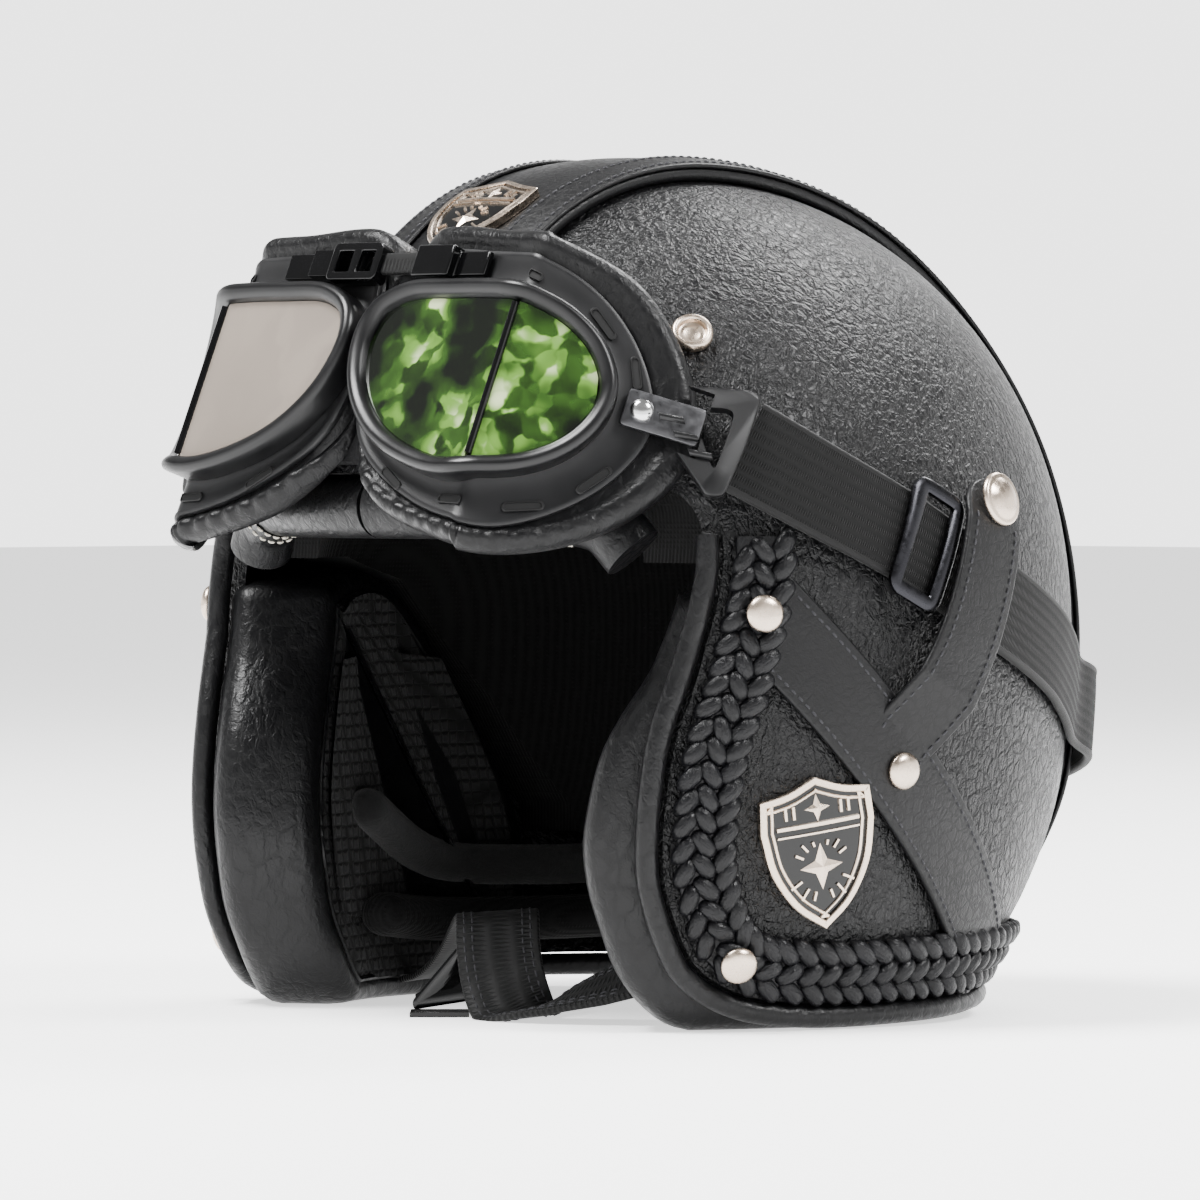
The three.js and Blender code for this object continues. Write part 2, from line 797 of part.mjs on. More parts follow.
function makeKeeper() {
  const rounding = 0.12;
  const strap = stripOnShell(sideRoute(keeperPlaces, 16), (share) => {
    const end = Math.min(share / rounding, 1);
    const width = keeperWidth * Math.max(Math.sqrt(1 - (1 - end) ** 2), 0.3);
    const low = keeperLift(share);
    return flatProfile(width, low, low + keeperThickness, 2);
  });
  return cut(strap, sideBandStrip(sideBandWidth + 1, -3, 4 * sideBandThickness, 3));
}

function makeKeeperSnap() {
  const foot = sidePoint(0.22 * cheekReach, 1.345 * widestHeight);
  const lift = keeperLift(0.16) + keeperThickness + 2 * clearance;
  return turnedOnShell(foot, lift, domeProfile(keeperSnapDiameter / 2, rivetHeight), 10);
}

function makeVisorSnap() {
  const radius = visorSnapDiameter / 2;
  const foot = sidePoint(-0.68 * cheekReach, 1.79 * widestHeight);
  return turnedOnShell(foot, 2 * clearance, [[0, 0], [radius, 0], [radius, 2], [radius * 0.8, 3],
    [radius * 0.55, 3], [radius * 0.5, 1.6], [0, 1.6]], 8);
}

// Goggle strap: turn from the front, height as a share of the widest level, lift off the shell
const strapPlaces = [
  { turn: 60.5, height: 1.475, lift: 9.0 },
  { turn: 72, height: 1.37, lift: 4.4 },
  { turn: 84, height: 1.265, lift: 0.8 },
  { turn: 96, height: 1.14, lift: 0.7 },
  { turn: 118, height: 0.96, lift: 0.7 },
  { turn: 134, height: 0.83, lift: 0.7 },
  { turn: 142, height: 0.79, lift: 6.4 },
  { turn: 162, height: 0.71, lift: 6.4 },
  { turn: 180, height: 0.68, lift: 6.4 },
];

function makeGoggleStrap() {
  const side = [];
  const steps = 22;
  const places = strapPlaces.map((p) => new THREE.Vector3(p.turn, p.height * widestHeight, p.lift));
  const curve = new THREE.CatmullRomCurve3(places, false, 'centripetal');
  for (let i = 0; i <= steps; i += 1) side.push(curve.getPoint(i / steps));
  const all = [...side, ...side.slice(0, -1).reverse().map((p) => new THREE.Vector3(360 - p.x, p.y, p.z))];
  const route = all.map((p) => ringPoint(p.x, p.y));
  const last = all.length - 1;
  return stripOnShell(route, (share) => {
    const at = all[Math.round(share * last)];
    const low = Math.max(at.z, clearance);
    return flatProfile(strapWidth, low, low + strapThickness, 2);
  });
}

// A short piece of the strap's line, for what sits on it
function strapStretch(fromTurn, toTurn, count) {
  return Array.from({ length: count + 1 }, (_, i) => {
    const turn = THREE.MathUtils.lerp(fromTurn, toTurn, i / count);
    return ringPoint(turn, widestHeight * readTable(strapPlaces, 'turn', 'height', turn));
  });
}

const sliderTurn = 86;

function makeSlider() {
  const low = strapThickness + 7 * clearance;
  const high = low + sliderThickness;
  const span = THREE.MathUtils.radToDeg(sliderLength / halfWidth) / 2;
  const inner = THREE.MathUtils.radToDeg((sliderLength / 2 - sliderBar) / halfWidth);
  const body = stripOnShell(strapStretch(sliderTurn - span, sliderTurn + span, 2), () => flatProfile(sliderWidth, low, high, 2));
  const hole = stripOnShell(strapStretch(sliderTurn - inner, sliderTurn + inner, 2),
    () => flatProfile(sliderWidth - 2 * sliderBar, low - 2, high + 2, 2));
  return cut(body, hole);
}

// How far the anchor plate stands off the shell at its front end, over the goggle's surround
const anchorLift = 14.5;

// Anchor plate between goggle and strap, in the side view: shares of reach and widest height
const anchorOutline = [
  { reach: -0.93, height: 1.60 },
  { reach: -0.74, height: 1.60 },
  { reach: -0.61, height: 1.595 },
  { reach: -0.80, height: 1.345 },
  { reach: -0.84, height: 1.345 },
  { reach: -0.90, height: 1.48 },
];
const anchorHole = [
  { reach: -0.82, height: 1.555 },
  { reach: -0.705, height: 1.55 },
  { reach: -0.81, height: 1.40 },
];

function anchorLayer(rows, extra) {
  return rows.map((row) => {
    const y = row.reach * cheekReach;
    const foot = sidePoint(y, row.height * widestHeight);
    const share = THREE.MathUtils.clamp((row.reach + 0.93) / 0.32, 0, 1);
    return lifted(foot, THREE.MathUtils.lerp(anchorLift, 10, share) + extra);
  });
}

function makeAnchor() {
  const body = loft([anchorLayer(anchorOutline, 0), anchorLayer(anchorOutline, anchorThickness)]);
  const hole = loft([anchorLayer(anchorHole, -3), anchorLayer(anchorHole, anchorThickness + 3)]);
  const hinge = goggleBlock(plateCentre + plateHalfWidth / 2, padCentre + padHalfWidth + 2.5, -6, 14,
    -rimDepth, rimDepth + clearance);
  return cut(body, hole, hinge);
}

// Goggle outlines as shares of their half width and half height, from the nose round over the top
const rimShares = [[-1, 0.43], [-0.92, 0.77], [-0.69, 0.97], [-0.28, 1], [0.13, 0.99], [0.4, 0.96], [0.64, 0.86],
  [0.86, 0.63], [1, 0.26], [0.99, -0.1], [0.86, -0.48], [0.6, -0.8], [0.14, -1], [-0.25, -0.9], [-0.66, -0.58],
  [-0.92, -0.1]];
const plateShares = [[-1, 0.48], [-0.88, 0.96], [-0.24, 1], [0.4, 0.9], [0.74, 0.63], [0.96, 0.23], [1, -0.06],
  [0.84, -0.5], [0.5, -0.88], [0.22, -1], [-0.37, -0.84], [-0.92, -0.34]];
const padShares = [[-1, 0.4], [-0.9, 1], [-0.3, 1.02], [0.16, 0.98], [0.57, 0.84], [0.88, 0.47], [0.99, 0.18],
  [1, -0.18], [0.8, -0.57], [0.48, -0.85], [0.12, -0.98], [-0.3, -0.9], [-0.72, -0.7], [-1, -0.3]];

function outlineOf(shares, centre, halfWide, halfHigh, count) {
  const places = shares.map(([a, b]) => new THREE.Vector3(centre + a * halfWide, b * halfHigh, 0));
  const curve = new THREE.CatmullRomCurve3(places, true, 'centripetal');
  return curve.getPoints(count).slice(0, count).map((p) => new THREE.Vector2(p.x, p.y));
}

// Place on the left goggle: along its folded face, up it and in towards the head
function gogglePoint(along, up, depth) {
  const arc = foldRadius * paneTurn;
  const turn = paneTurn * THREE.MathUtils.clamp((along - foldReach + arc / 2) / arc, 0, 1);
  const start = Math.min(along, foldReach - arc / 2);
  const past = Math.max(along - foldReach - arc / 2, 0);
  let x = start + foldRadius * Math.sin(turn) + past * Math.cos(turn);
  let back = foldRadius * (1 - Math.cos(turn)) + past * Math.sin(turn);
  x -= depth * Math.sin(turn);
  back += depth * Math.cos(turn);
  const tilt = gogglePitch;
  const y = -goggleReach + back * Math.cos(tilt) + up * Math.sin(tilt);
  return new THREE.Vector3(x, y, goggleHeight - back * Math.sin(tilt) + up * Math.cos(tilt));
}

// Moves an outline in by a distance, towards its own inside
function shrunk(outline, distance) {
  const count = outline.length;
  return outline.map((p, i) => {
    const ahead = outline[(i + 1) % count];
    const behind = outline[(i + count - 1) % count];
    const way = ahead.clone().sub(behind).normalize();
    return new THREE.Vector2(p.x + way.y * distance, p.y - way.x * distance);
  });
}

const rimOutline = outlineOf(rimShares, rimCentre, rimHalfWidth, rimHalfHeight, 26);
const plateOutline = outlineOf(plateShares, plateCentre, plateHalfWidth, plateHalfHeight, 26);
const padOutline = outlineOf(padShares, padCentre, padHalfWidth, padHalfHeight, 26);

// Ring between two outlines of equal count, given as layers of outline and depth
function goggleRing(layers) {
  const count = layers[0].outline.length;
  const rings = [];
  for (let i = 0; i < count; i += 1) {
    rings.push(layers.map(({ outline, depth }) => {
      const p = outline[i];
      return gogglePoint(p.x, p.y, typeof depth === 'function' ? depth(p) : depth);
    }));
  }
  return loft(rings, true);
}

function makeRim() {
  const inner = shrunk(rimOutline, rimFace);
  return goggleRing([
    { outline: shrunk(rimOutline, 1.4), depth: 0 },
    { outline: inner, depth: 1 },
    { outline: inner, depth: rimDepth },
    { outline: rimOutline, depth: rimDepth },
    { outline: rimOutline, depth: 1.4 },
  ]);
}

function makePlate() {
  const room = (outline) => outline.map((p) => new THREE.Vector2(Math.max(p.x, noseGap), p.y));
  const outer = room(plateOutline);
  const inner = shrunk(rimOutline, rimFace - 0.5);
  const front = rimDepth + clearance;
  return goggleRing([
    { outline: inner, depth: front },
    { outline: inner, depth: front + plateThickness },
    { outline: outer, depth: front + plateThickness },
    { outline: outer, depth: front },
  ]);
}

// Room that the plate takes in the leather surround, open towards the front
function plateRoom() {
  const outer = shrunk(plateOutline, -2 * clearance);
  const inner = shrunk(rimOutline, rimFace - 0.5);
  const back = rimDepth + plateThickness + 3 * clearance;
  return goggleRing([
    { outline: inner, depth: 0 },
    { outline: inner, depth: back },
    { outline: outer, depth: back },
    { outline: outer, depth: 0 },
  ]);
}

// Depth at which a line in through the goggle meets the shell or its crown band
function depthToShell(p) {
  const start = rimDepth + plateThickness;
  const limit = start + padDepthLimit;
  const cover = bandLift + bandThickness + trimThickness + 4 * clearance;
  for (let depth = start; depth < limit; depth += 0.5) {
    const at = gogglePoint(p.x, p.y, depth);
    const lift = Math.abs(at.x) < bandHalfWidth + 4 ? cover : 2 * clearance;
    if (shellLevel(lifted(at, -lift)) < 1) return depth - 0.5;
  }
  return limit;
}

// Leather surround: corners as shares of the way from the plate's edge to the pad's edge
function makeGogglePad() {
  const front = rimDepth + plateThickness + 2 * clearance;
  const nose = rimHalfWidth / 4;
  const sink = (p) => 4.5 * THREE.MathUtils.clamp(1 - (p.x - noseGap) / nose, 0, 1);
  const corners = [
    { share: -0.5, depth: () => front + 1.2 },
    { share: 0.12, depth: (p) => front + 1 + sink(p) / 3 },
    { share: 0.4, depth: (p) => front - 1.6 + sink(p) },
    { share: 0.8, depth: (p) => front - 0.6 + sink(p) },
    { share: 1, depth: (p) => front + 2.6 + sink(p) },
    { share: 0.9, depth: (p) => Math.max(depthToShell(p) + shellWall / 2, front + 6.5) },
    { share: -0.5, depth: (p) => Math.max(depthToShell(p) + shellWall / 2, front + 6) },
  ];
  const ring = goggleRing(corners.map(({ share, depth }) => ({
    depth,
    outline: plateOutline.map((p, i) => {
      const q = p.clone().lerp(padOutline[i], share);
      if (share < 0) q.copy(shrunk(plateOutline, 7)[i]);
      q.x = Math.max(q.x, noseGap + (1 - share) * 5);
      return q;
    }),
  })));
  return cut(ring, skinSolid(-clearance), crownRoom(), plateRoom());
}

// Part of an outline on one side of the fold
function clipped(outline, limit, below) {
  const kept = [];
  const inside = (p) => (below ? p.x <= limit : p.x >= limit);
  outline.forEach((p, i) => {
    const next = outline[(i + 1) % outline.length];
    if (inside(p)) kept.push(p);
    if (inside(p) !== inside(next)) kept.push(p.clone().lerp(next, (limit - p.x) / (next.x - p.x)));
  });
  return kept;
}

function makeLens(below) {
  const opening = shrunk(rimOutline, rimFace + clearance);
  const gap = barWidth / 2 + clearance;
  const outline = clipped(opening, foldReach + (below ? -gap : gap), below);
  const layer = (depth) => outline.map((p) => gogglePoint(p.x, p.y, depth));
  return loft([layer(lensRecess), layer(lensRecess + lensThickness)]);
}

function goggleBlock(from, to, low, high, front, back) {
  const ring = (along) => [[low, front], [high, front], [high, back], [low, back]]
    .map(([up, depth]) => gogglePoint(along, up, depth));
  return loft([ring(from), ring(to)]);
}

function makeLensBar() {
  const half = barWidth / 2;
  const reach = rimHalfHeight * 0.97 - rimFace - clearance;
  return goggleBlock(foldReach - half, foldReach + half, -reach, reach, lensRecess - 0.8, lensRecess + 2);
}

// Hinged side tab from the goggle's plate to the anchor plate
function makeStrapTab() {
  const front = rimDepth - 0.4 - tabThickness;
  const from = plateCentre + plateHalfWidth - 9;
  const to = padCentre + padHalfWidth + 1.8;
  return goggleBlock(from, to, 4 - tabWidth / 2, 4 + tabWidth / 2, front, front + tabThickness);
}

function makeTabRivet() {
  const foot = gogglePoint(plateCentre + plateHalfWidth - 4, 4, rimDepth - 0.4 - tabThickness);
  const out = gogglePoint(plateCentre + plateHalfWidth - 4, 4, -1).sub(gogglePoint(plateCentre + plateHalfWidth - 4, 4, 0));
  const geometry = bare(new THREE.LatheGeometry(domeProfile(tabRivetDiameter / 2, 2.4)
    .map(([r, h]) => new THREE.Vector2(r, h)), 10));
  geometry.applyQuaternion(new THREE.Quaternion().setFromUnitVectors(new THREE.Vector3(0, 1, 0), out));
  foot.addScaledVector(out, clearance);
  geometry.translate(foot.x, foot.y, foot.z);
  return mergeVertices(geometry, 1e-4);
}

// Strap over the nose: each piece as a stretch across and a depth in front of the plates
const bridgeUp = 36;

function bridgePiece(from, to, height, front, back) {
  return goggleBlock(from, to, bridgeUp - height / 2, bridgeUp + height / 2, front, back);
}

// End block of the strap with the thin tab that holds it to the goggle's plate
function makeBridgeBlock(from, to, tabEnd, height, front) {
  const back = 7.8;
  const block = bridgePiece(from, to, height, front, back);
  const middle = (from + to) / 2;
  return joined(block, bridgePiece(Math.min(middle, tabEnd), Math.max(middle, tabEnd), bridgeHeight + 1, 5.8, back));
}

function makeBridgeBuckle() {
  const body = bridgePiece(-20, 0, bridgeHeight + 5, 2.6, 7.6);
  const holes = [[-17.5, -11.5], [-8.5, -2.5]];
  return cut(body, ...holes.map(([from, to]) => bridgePiece(from, to, bridgeHeight - 0.5, 0, 9)));
}

// Shield outline, point down: shares of its half width and half height
const shieldShares = [[0, -1], [-0.5, -0.68], [-0.86, -0.2], [-1, 0.35], [-0.96, 0.78], [-0.5, 0.84], [0, 1],
  [0.5, 0.84], [0.96, 0.78], [1, 0.35], [0.86, -0.2], [0.5, -0.68]];

function shieldOnShell(foot, up, width, height, lift) {
  const out = outwardAt(foot).normalize();
  const high = up.clone().addScaledVector(out, -up.dot(out)).normalize();
  const side = new THREE.Vector3().crossVectors(high, out);
  const layer = (share, extra) => shieldShares.map(([a, b]) => {
    const p = foot.clone().addScaledVector(side, a * share * width / 2).addScaledVector(high, b * share * height / 2);
    return lifted(settle(p), lift + extra);
  });
  return loft([layer(0.5, 0), layer(1, 0), layer(1, badgeThickness * 0.7), layer(0.93, badgeThickness),
    layer(0.5, badgeThickness)]);
}

function makeSideBadge() {
  const foot = sidePoint(-0.50 * cheekReach, 0.463 * widestHeight);
  const up = new THREE.Vector3(0, -0.16, 1);
  const shield = shieldOnShell(foot, up, sideBadgeWidth, sideBadgeHeight, 2 * clearance);
  return cut(shield, sideBandStrip(sideBandWidth + 1, -3, 4 * sideBandThickness, 2));
}

function makeFrontBadge() {
  const foot = crownPoint(0.185, 0);
  const lift = bandLift + bandThickness + 2 * clearance;
  return shieldOnShell(foot, new THREE.Vector3(0, 1, 0.6), frontBadgeWidth, frontBadgeHeight, lift);
}

// Chin strap: middle of the webbing and the way across it, from the left cheek to the right
const chinPlaces = [
  { x: 55, y: -48, z: 14.4, across: [-0.6, 0.7, 0.45] },
  { x: 46, y: -53, z: 11, across: [-0.6, 0.7, 0.35] },
  { x: 32, y: -59, z: 6, across: [-0.4, 0.85, 0.2] },
  { x: 21, y: -61, z: 1.6, across: [0.2, 1, 0.05] },
  { x: 14, y: -60, z: 3.5, across: [0.6, 0.8, 0.2] },
  { x: 8, y: -58, z: 11, across: [0.68, 0.68, 0.25] },
  { x: 3, y: -55, z: 20, across: [0.7, 0.7, 0.18] },
  { x: -2, y: -50.5, z: 27.6, across: [0.7, 0.7, 0.1] },
  { x: -18, y: -36, z: 26, across: [0.7, 0.7, 0] },
  { x: -42, y: -20, z: 15, across: [0.5, 0.85, 0] },
  { x: -60, y: -12, z: 8, across: [0.3, 0.95, 0] },
  { x: -71, y: -8.5, z: 7, across: [0.1, 1, 0.1] },
];

function makeChinStrap() {
  const curve = new THREE.CatmullRomCurve3(chinPlaces.map((p) => new THREE.Vector3(p.x, p.y, p.z)));
  const ways = new THREE.CatmullRomCurve3(chinPlaces.map((p) => new THREE.Vector3(...p.across)));
  const steps = 36;
  const rings = [];
  for (let i = 0; i <= steps; i += 1) {
    const t = i / steps;
    const p = curve.getPoint(t);
    const along = curve.getTangent(t);
    const across = ways.getPoint(t);
    across.addScaledVector(along, -across.dot(along)).normalize();
    const out = new THREE.Vector3().crossVectors(along, across).normalize();
    const corner = (a, b) => {
      const q = p.clone().addScaledVector(across, a * chinStrapWidth / 2);
      q.addScaledVector(out, b * chinStrapThickness / 2);
      q.z = Math.max(q.z, 0);
      return q;
    };
    rings.push([corner(-1, -1), corner(1, -1), corner(1, 1), corner(-1, 1)]);
  }
  return loft(rings);
}

// Buckle plate behind the webbing, seen square on from the front left: across, height
const buckleOutline = [[-61, 1.6], [-61.5, 4], [-46, 22.5], [-33, 22.5], [-33, 6]];
const buckleTabOutline = [[-62, 0], [-62, 1.4], [-45, 1.4], [-45, 0]];

function chinPlate(outline, front, back) {
  const layer = (depth) => outline.map(([across, z]) => {
    const root = Math.SQRT1_2;
    return new THREE.Vector3(across * root - depth * root, across * root + depth * root, z);
  });
  return loft([layer(front), layer(back)]);
}

addPiece('shell', makeShell(), 'shell');
addPiece('comfort_liner', makeLiner(), 'fabric');
addPiece('crown_band', makeCrownBand(), 'smooth');
addPair('crown_trim', makeCrownTrim, 'smooth');
addPair('edge_braid', makeBraid, 'braid');
addPair('edge_piping', makePiping, 'smooth');
addPair('cheek_pad', makeCheekPad, 'pad');
addPair('temple_roll', makeTempleRoll, 'pad');
addPiece('neck_roll_upper', makeNeckRoll(38, neckRollDiameter / 2, 1), 'fabric');
addPiece('neck_roll_lower', makeNeckRoll(22.5, rimRollDiameter / 2, 0.2), 'fabric');
addPair('side_band', makeSideBand, 'smooth');
rivetPlaces.forEach((place, i) => addPair(`band_rivet_${i + 1}`, () => makeRivet(place), 'nickel'));
addPair('keeper_strap', makeKeeper, 'smooth');
addPair('keeper_snap', makeKeeperSnap, 'nickel');
addPair('visor_snap', makeVisorSnap, 'nickel');
addPiece('goggle_strap', makeGoggleStrap(), 'elastic');
addPair('strap_slider', makeSlider, 'gunmetal');
addPair('strap_anchor', makeAnchor, 'plastic');
addPair('strap_tab', makeStrapTab, 'steel');
addPair('tab_rivet', makeTabRivet, 'steel');
addPair('goggle_pad', makeGogglePad, 'smooth');
addPair('goggle_plate', makePlate, 'plate');
addPair('goggle_rim', makeRim, 'plastic');
addPair('lens_inner', () => makeLens(true), 'lens');
addPair('lens_outer', () => makeLens(false), 'lens');
addPair('lens_bar', makeLensBar, 'steel');
addPiece('bridge_strap', bridgePiece(0.3, 13.7, bridgeHeight, 4.4, 4.4 + bridgeThickness), 'elastic');
addPiece('bridge_buckle', makeBridgeBuckle(), 'plastic');
addPiece('bridge_block_left', makeBridgeBlock(14, 28.6, 40.5, bridgeHeight + 3, 3), 'plastic');
addPiece('bridge_block_right', makeBridgeBlock(-28.6, -20.3, -40.5, bridgeHeight + 1.5, 3.6), 'plastic');
addPiece('front_badge', makeFrontBadge(), 'nickel');
addPair('side_badge', makeSideBadge, 'nickel');
addPiece('chin_strap', makeChinStrap(), 'nylon');
addPiece('chin_buckle', chinPlate(buckleOutline, -37, -33.8), 'plastic');
addPiece('buckle_tab', chinPlate(buckleTabOutline, -46, -30), 'plastic');

// Stands the helmet on the floor with its origin under the middle of its bounding box
const box = new THREE.Box3().setFromObject(helmet);
const middle = box.getCenter(new THREE.Vector3());
for (const mesh of helmet.children) mesh.geometry.translate(-middle.x, -middle.y, -box.min.z);

export default helmet;
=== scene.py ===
"""Open-face leather helmet with goggles: the looks of each piece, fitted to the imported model."""
import math

import bpy
import numpy as np
from bpy.props import FloatProperty, FloatVectorProperty, PointerProperty
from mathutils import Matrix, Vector


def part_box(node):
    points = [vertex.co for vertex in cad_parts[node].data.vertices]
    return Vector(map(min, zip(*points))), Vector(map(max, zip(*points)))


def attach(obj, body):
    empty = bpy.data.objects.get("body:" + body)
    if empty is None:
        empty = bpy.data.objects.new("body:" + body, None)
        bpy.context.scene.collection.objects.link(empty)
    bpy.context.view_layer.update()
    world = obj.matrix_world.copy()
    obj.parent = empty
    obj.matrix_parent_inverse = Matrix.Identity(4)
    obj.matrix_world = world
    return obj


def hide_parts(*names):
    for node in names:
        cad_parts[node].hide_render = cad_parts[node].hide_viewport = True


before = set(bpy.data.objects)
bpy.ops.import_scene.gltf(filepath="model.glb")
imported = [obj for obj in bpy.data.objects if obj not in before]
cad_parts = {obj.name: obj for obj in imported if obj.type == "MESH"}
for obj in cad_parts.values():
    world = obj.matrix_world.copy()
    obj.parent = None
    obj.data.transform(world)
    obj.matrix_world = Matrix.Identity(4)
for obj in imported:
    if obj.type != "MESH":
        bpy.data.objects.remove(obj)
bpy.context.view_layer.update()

bl_info = {
    "name": "Leather open-face helmet",
    "version": (1, 0, 0),
    "blender": (4, 5, 0),
    "location": "View3D > Sidebar > Helmet",
    "description": "Builds the leather, fabric, plastic and metal pieces of an open-face helmet",
    "category": "Add Mesh",
}

# Shell, in millimetres from the floor under the crown
HALF_WIDTH = 124.0
FRONT_REACH = 112.0
BACK_REACH = 134.0
CROWN_HEIGHT = 242.0
WIDEST_HEIGHT = 108.0
DOME_FULLNESS = 2.12
SHELL_WALL = 6.0
LINER_WALL = 20.0
NECK_LINE = 47.0
SECTION_HEIGHTS = (0.0, 0.16, 0.26, 0.37, 0.53, 0.80, 1.0)
SECTION_WIDTHS = (0.880, 0.911, 0.935, 0.953, 0.975, 0.995, 1.0)
SECTION_BACKS = (0.600, 0.690, 0.790, 0.868, 0.945, 0.990, 1.0)
SECTION_FRONTS = (1.020, 1.060, 1.090, 1.100, 1.100, 1.050, 1.0)

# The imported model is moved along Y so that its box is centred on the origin
SHIFT_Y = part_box("shell")[1][1] * 1000.0 - BACK_REACH


# Sizes and colours that a user would change


def hex_colour(text):
    """Linear colour of an sRGB hex value."""
    values = [int(text[i:i + 2], 16) / 255.0 for i in (1, 3, 5)]
    return tuple(v / 12.92 if v <= 0.04045 else ((v + 0.055) / 1.055) ** 2.4 for v in values)


def size_property(name, description, default):
    return FloatProperty(name=name, description=description, default=default, min=0.1, soft_max=400.0)


def colour_property(name, description, default):
    return FloatVectorProperty(name=name, description=description, subtype="COLOR", size=3,
                               min=0.0, max=1.0, default=hex_colour(default))


class HelmetLeather(bpy.types.PropertyGroup):
    """Leather cover, bands and braid."""
    cover: colour_property("Cover", "Colour of the wrinkled leather cover", "#080809")
    smooth: colour_property("Smooth leather", "Colour of the bands, straps and rolls", "#09090a")
    braid: colour_property("Braid", "Colour of the braided strands", "#08080a")
    thread: colour_property("Thread", "Colour of the pale sewing thread", "#b9b4a8")
    crease: size_property("Crease spacing", "Distance between creases of the cover, mm", 3.5)
    stitch: size_property("Stitch length", "Length of one stitch with its gap, mm", 2.9)
    strand: size_property("Strand spacing", "Distance between strands of the braid, mm", 6.3)


class HelmetGoggles(bpy.types.PropertyGroup):
    """Goggles and their hardware."""
    plastic: colour_property("Plastic", "Colour of the rims and buckles", "#080809")
    plate: colour_property("Plate", "Colour of the goggle plates", "#101011")
    # The lens colours are painted reflections: green foliage on the left lens, a grey-brown room on the
    # right; the real lenses are alike.
    lens_left: colour_property("Left lens", "Tint of the left lens", "#2b4a16")
    lens_right: colour_property("Right lens", "Tint of the right lens", "#8f857b")
    slider: colour_property("Slider", "Colour of the strap slider", "#2c2c2f")


class HelmetTrim(bpy.types.PropertyGroup):
    """Metal trim, fabrics and webbing."""
    nickel: colour_property("Nickel", "Colour of rivets and badges", "#cdbcab")
    steel: colour_property("Steel", "Colour of the hinged tabs", "#59595b")
    fabric: colour_property("Lining", "Colour of the lining", "#080808")
    webbing: colour_property("Webbing", "Colour of the chin strap", "#0c0c0c")
    rivet: size_property("Rivet", "Diameter of a rivet, mm", 10.5)


# Surface of the shell


def smooth_table(places, values):
    """Dense points of a smooth curve through a table."""
    xs = np.array(places, dtype=float)
    ys = np.array(values, dtype=float)
    slopes = np.gradient(ys, xs)
    dense_x, dense_y = [], []
    for i in range(len(xs) - 1):
        t = np.linspace(0.0, 1.0, 24, endpoint=False)
        span = xs[i + 1] - xs[i]
        dense_x.append(xs[i] + t * span)
        dense_y.append((2 * t**3 - 3 * t**2 + 1) * ys[i] + (t**3 - 2 * t**2 + t) * span * slopes[i]
                       + (3 * t**2 - 2 * t**3) * ys[i + 1] + (t**3 - t**2) * span * slopes[i + 1])
    return np.append(np.concatenate(dense_x), xs[-1]), np.append(np.concatenate(dense_y), ys[-1])


WIDTH_TABLE = smooth_table(SECTION_HEIGHTS, SECTION_WIDTHS)
BACK_TABLE = smooth_table(SECTION_HEIGHTS, SECTION_BACKS)
FRONT_TABLE = smooth_table(SECTION_HEIGHTS, SECTION_FRONTS)


def shell_level(points, inset=0.0):
    """1 on the shell's face, less inside it; an inset moves that face in."""
    x, y, z = points[..., 0], points[..., 1], points[..., 2]
    at = np.clip(z / WIDEST_HEIGHT, 0.0, 1.0)
    width = HALF_WIDTH * np.interp(at, *WIDTH_TABLE) - inset
    front = FRONT_REACH * np.interp(at, *FRONT_TABLE) - inset
    back = BACK_REACH * np.interp(at, *BACK_TABLE) - inset
    plan = np.hypot(x / width, y / np.where(y < 0, front, back))
    rise = np.clip(z - WIDEST_HEIGHT, 0.0, None) / (CROWN_HEIGHT - WIDEST_HEIGHT - inset)
    return plan**DOME_FULLNESS + rise**DOME_FULLNESS


def unit(vectors):
    return vectors / np.maximum(np.linalg.norm(vectors, axis=-1, keepdims=True), 1e-9)


def cast_out(origins, ways, inset=0.0):
    """First points of the shell's face met from inside it."""
    origins, ways = np.broadcast_arrays(np.asarray(origins, float), np.asarray(ways, float))
    ways = unit(ways)
    near = np.zeros(origins.shape[:-1])
    far = np.full(origins.shape[:-1], 3 * BACK_REACH)
    for _ in range(34):
        middle = (near + far) / 2
        outside = shell_level(origins + ways * middle[..., None], inset) > 1
        far = np.where(outside, middle, far)
        near = np.where(outside, near, middle)
    return origins + ways * near[..., None]


def slope_at(points):
    step = 0.5
    slopes = []
    for axis in range(3):
        move = np.zeros(3)
        move[axis] = step
        slopes.append((shell_level(points + move) - shell_level(points - move)) / (2 * step))
    return np.stack(slopes, axis=-1)


def settle(points):
    """Moves points onto the shell's face by the shortest way."""
    points = np.array(points, dtype=float)
    for _ in range(7):
        slope = slope_at(points)
        points = points + slope * ((1 - shell_level(points)) / np.sum(slope**2, axis=-1))[..., None]
    return points


def out_of(points):
    return unit(slope_at(points))


def lifted(points, lift):
    return points + out_of(points) * np.asarray(lift)[..., None]


def side_point(y, z, inset=0.0):
    y, z = np.broadcast_arrays(np.asarray(y, float), np.asarray(z, float))
    return cast_out(np.stack([np.zeros_like(y), y, z], axis=-1), (1.0, 0.0, 0.0), inset)


def ring_point(turn, z, inset=0.0):
    angle = np.radians(np.asarray(turn, float))
    angle, z = np.broadcast_arrays(angle, np.asarray(z, float))
    ways = np.stack([np.sin(angle), -np.cos(angle), np.zeros_like(angle)], axis=-1)
    return cast_out(np.stack([np.zeros_like(z), np.zeros_like(z), z], axis=-1), ways, inset)


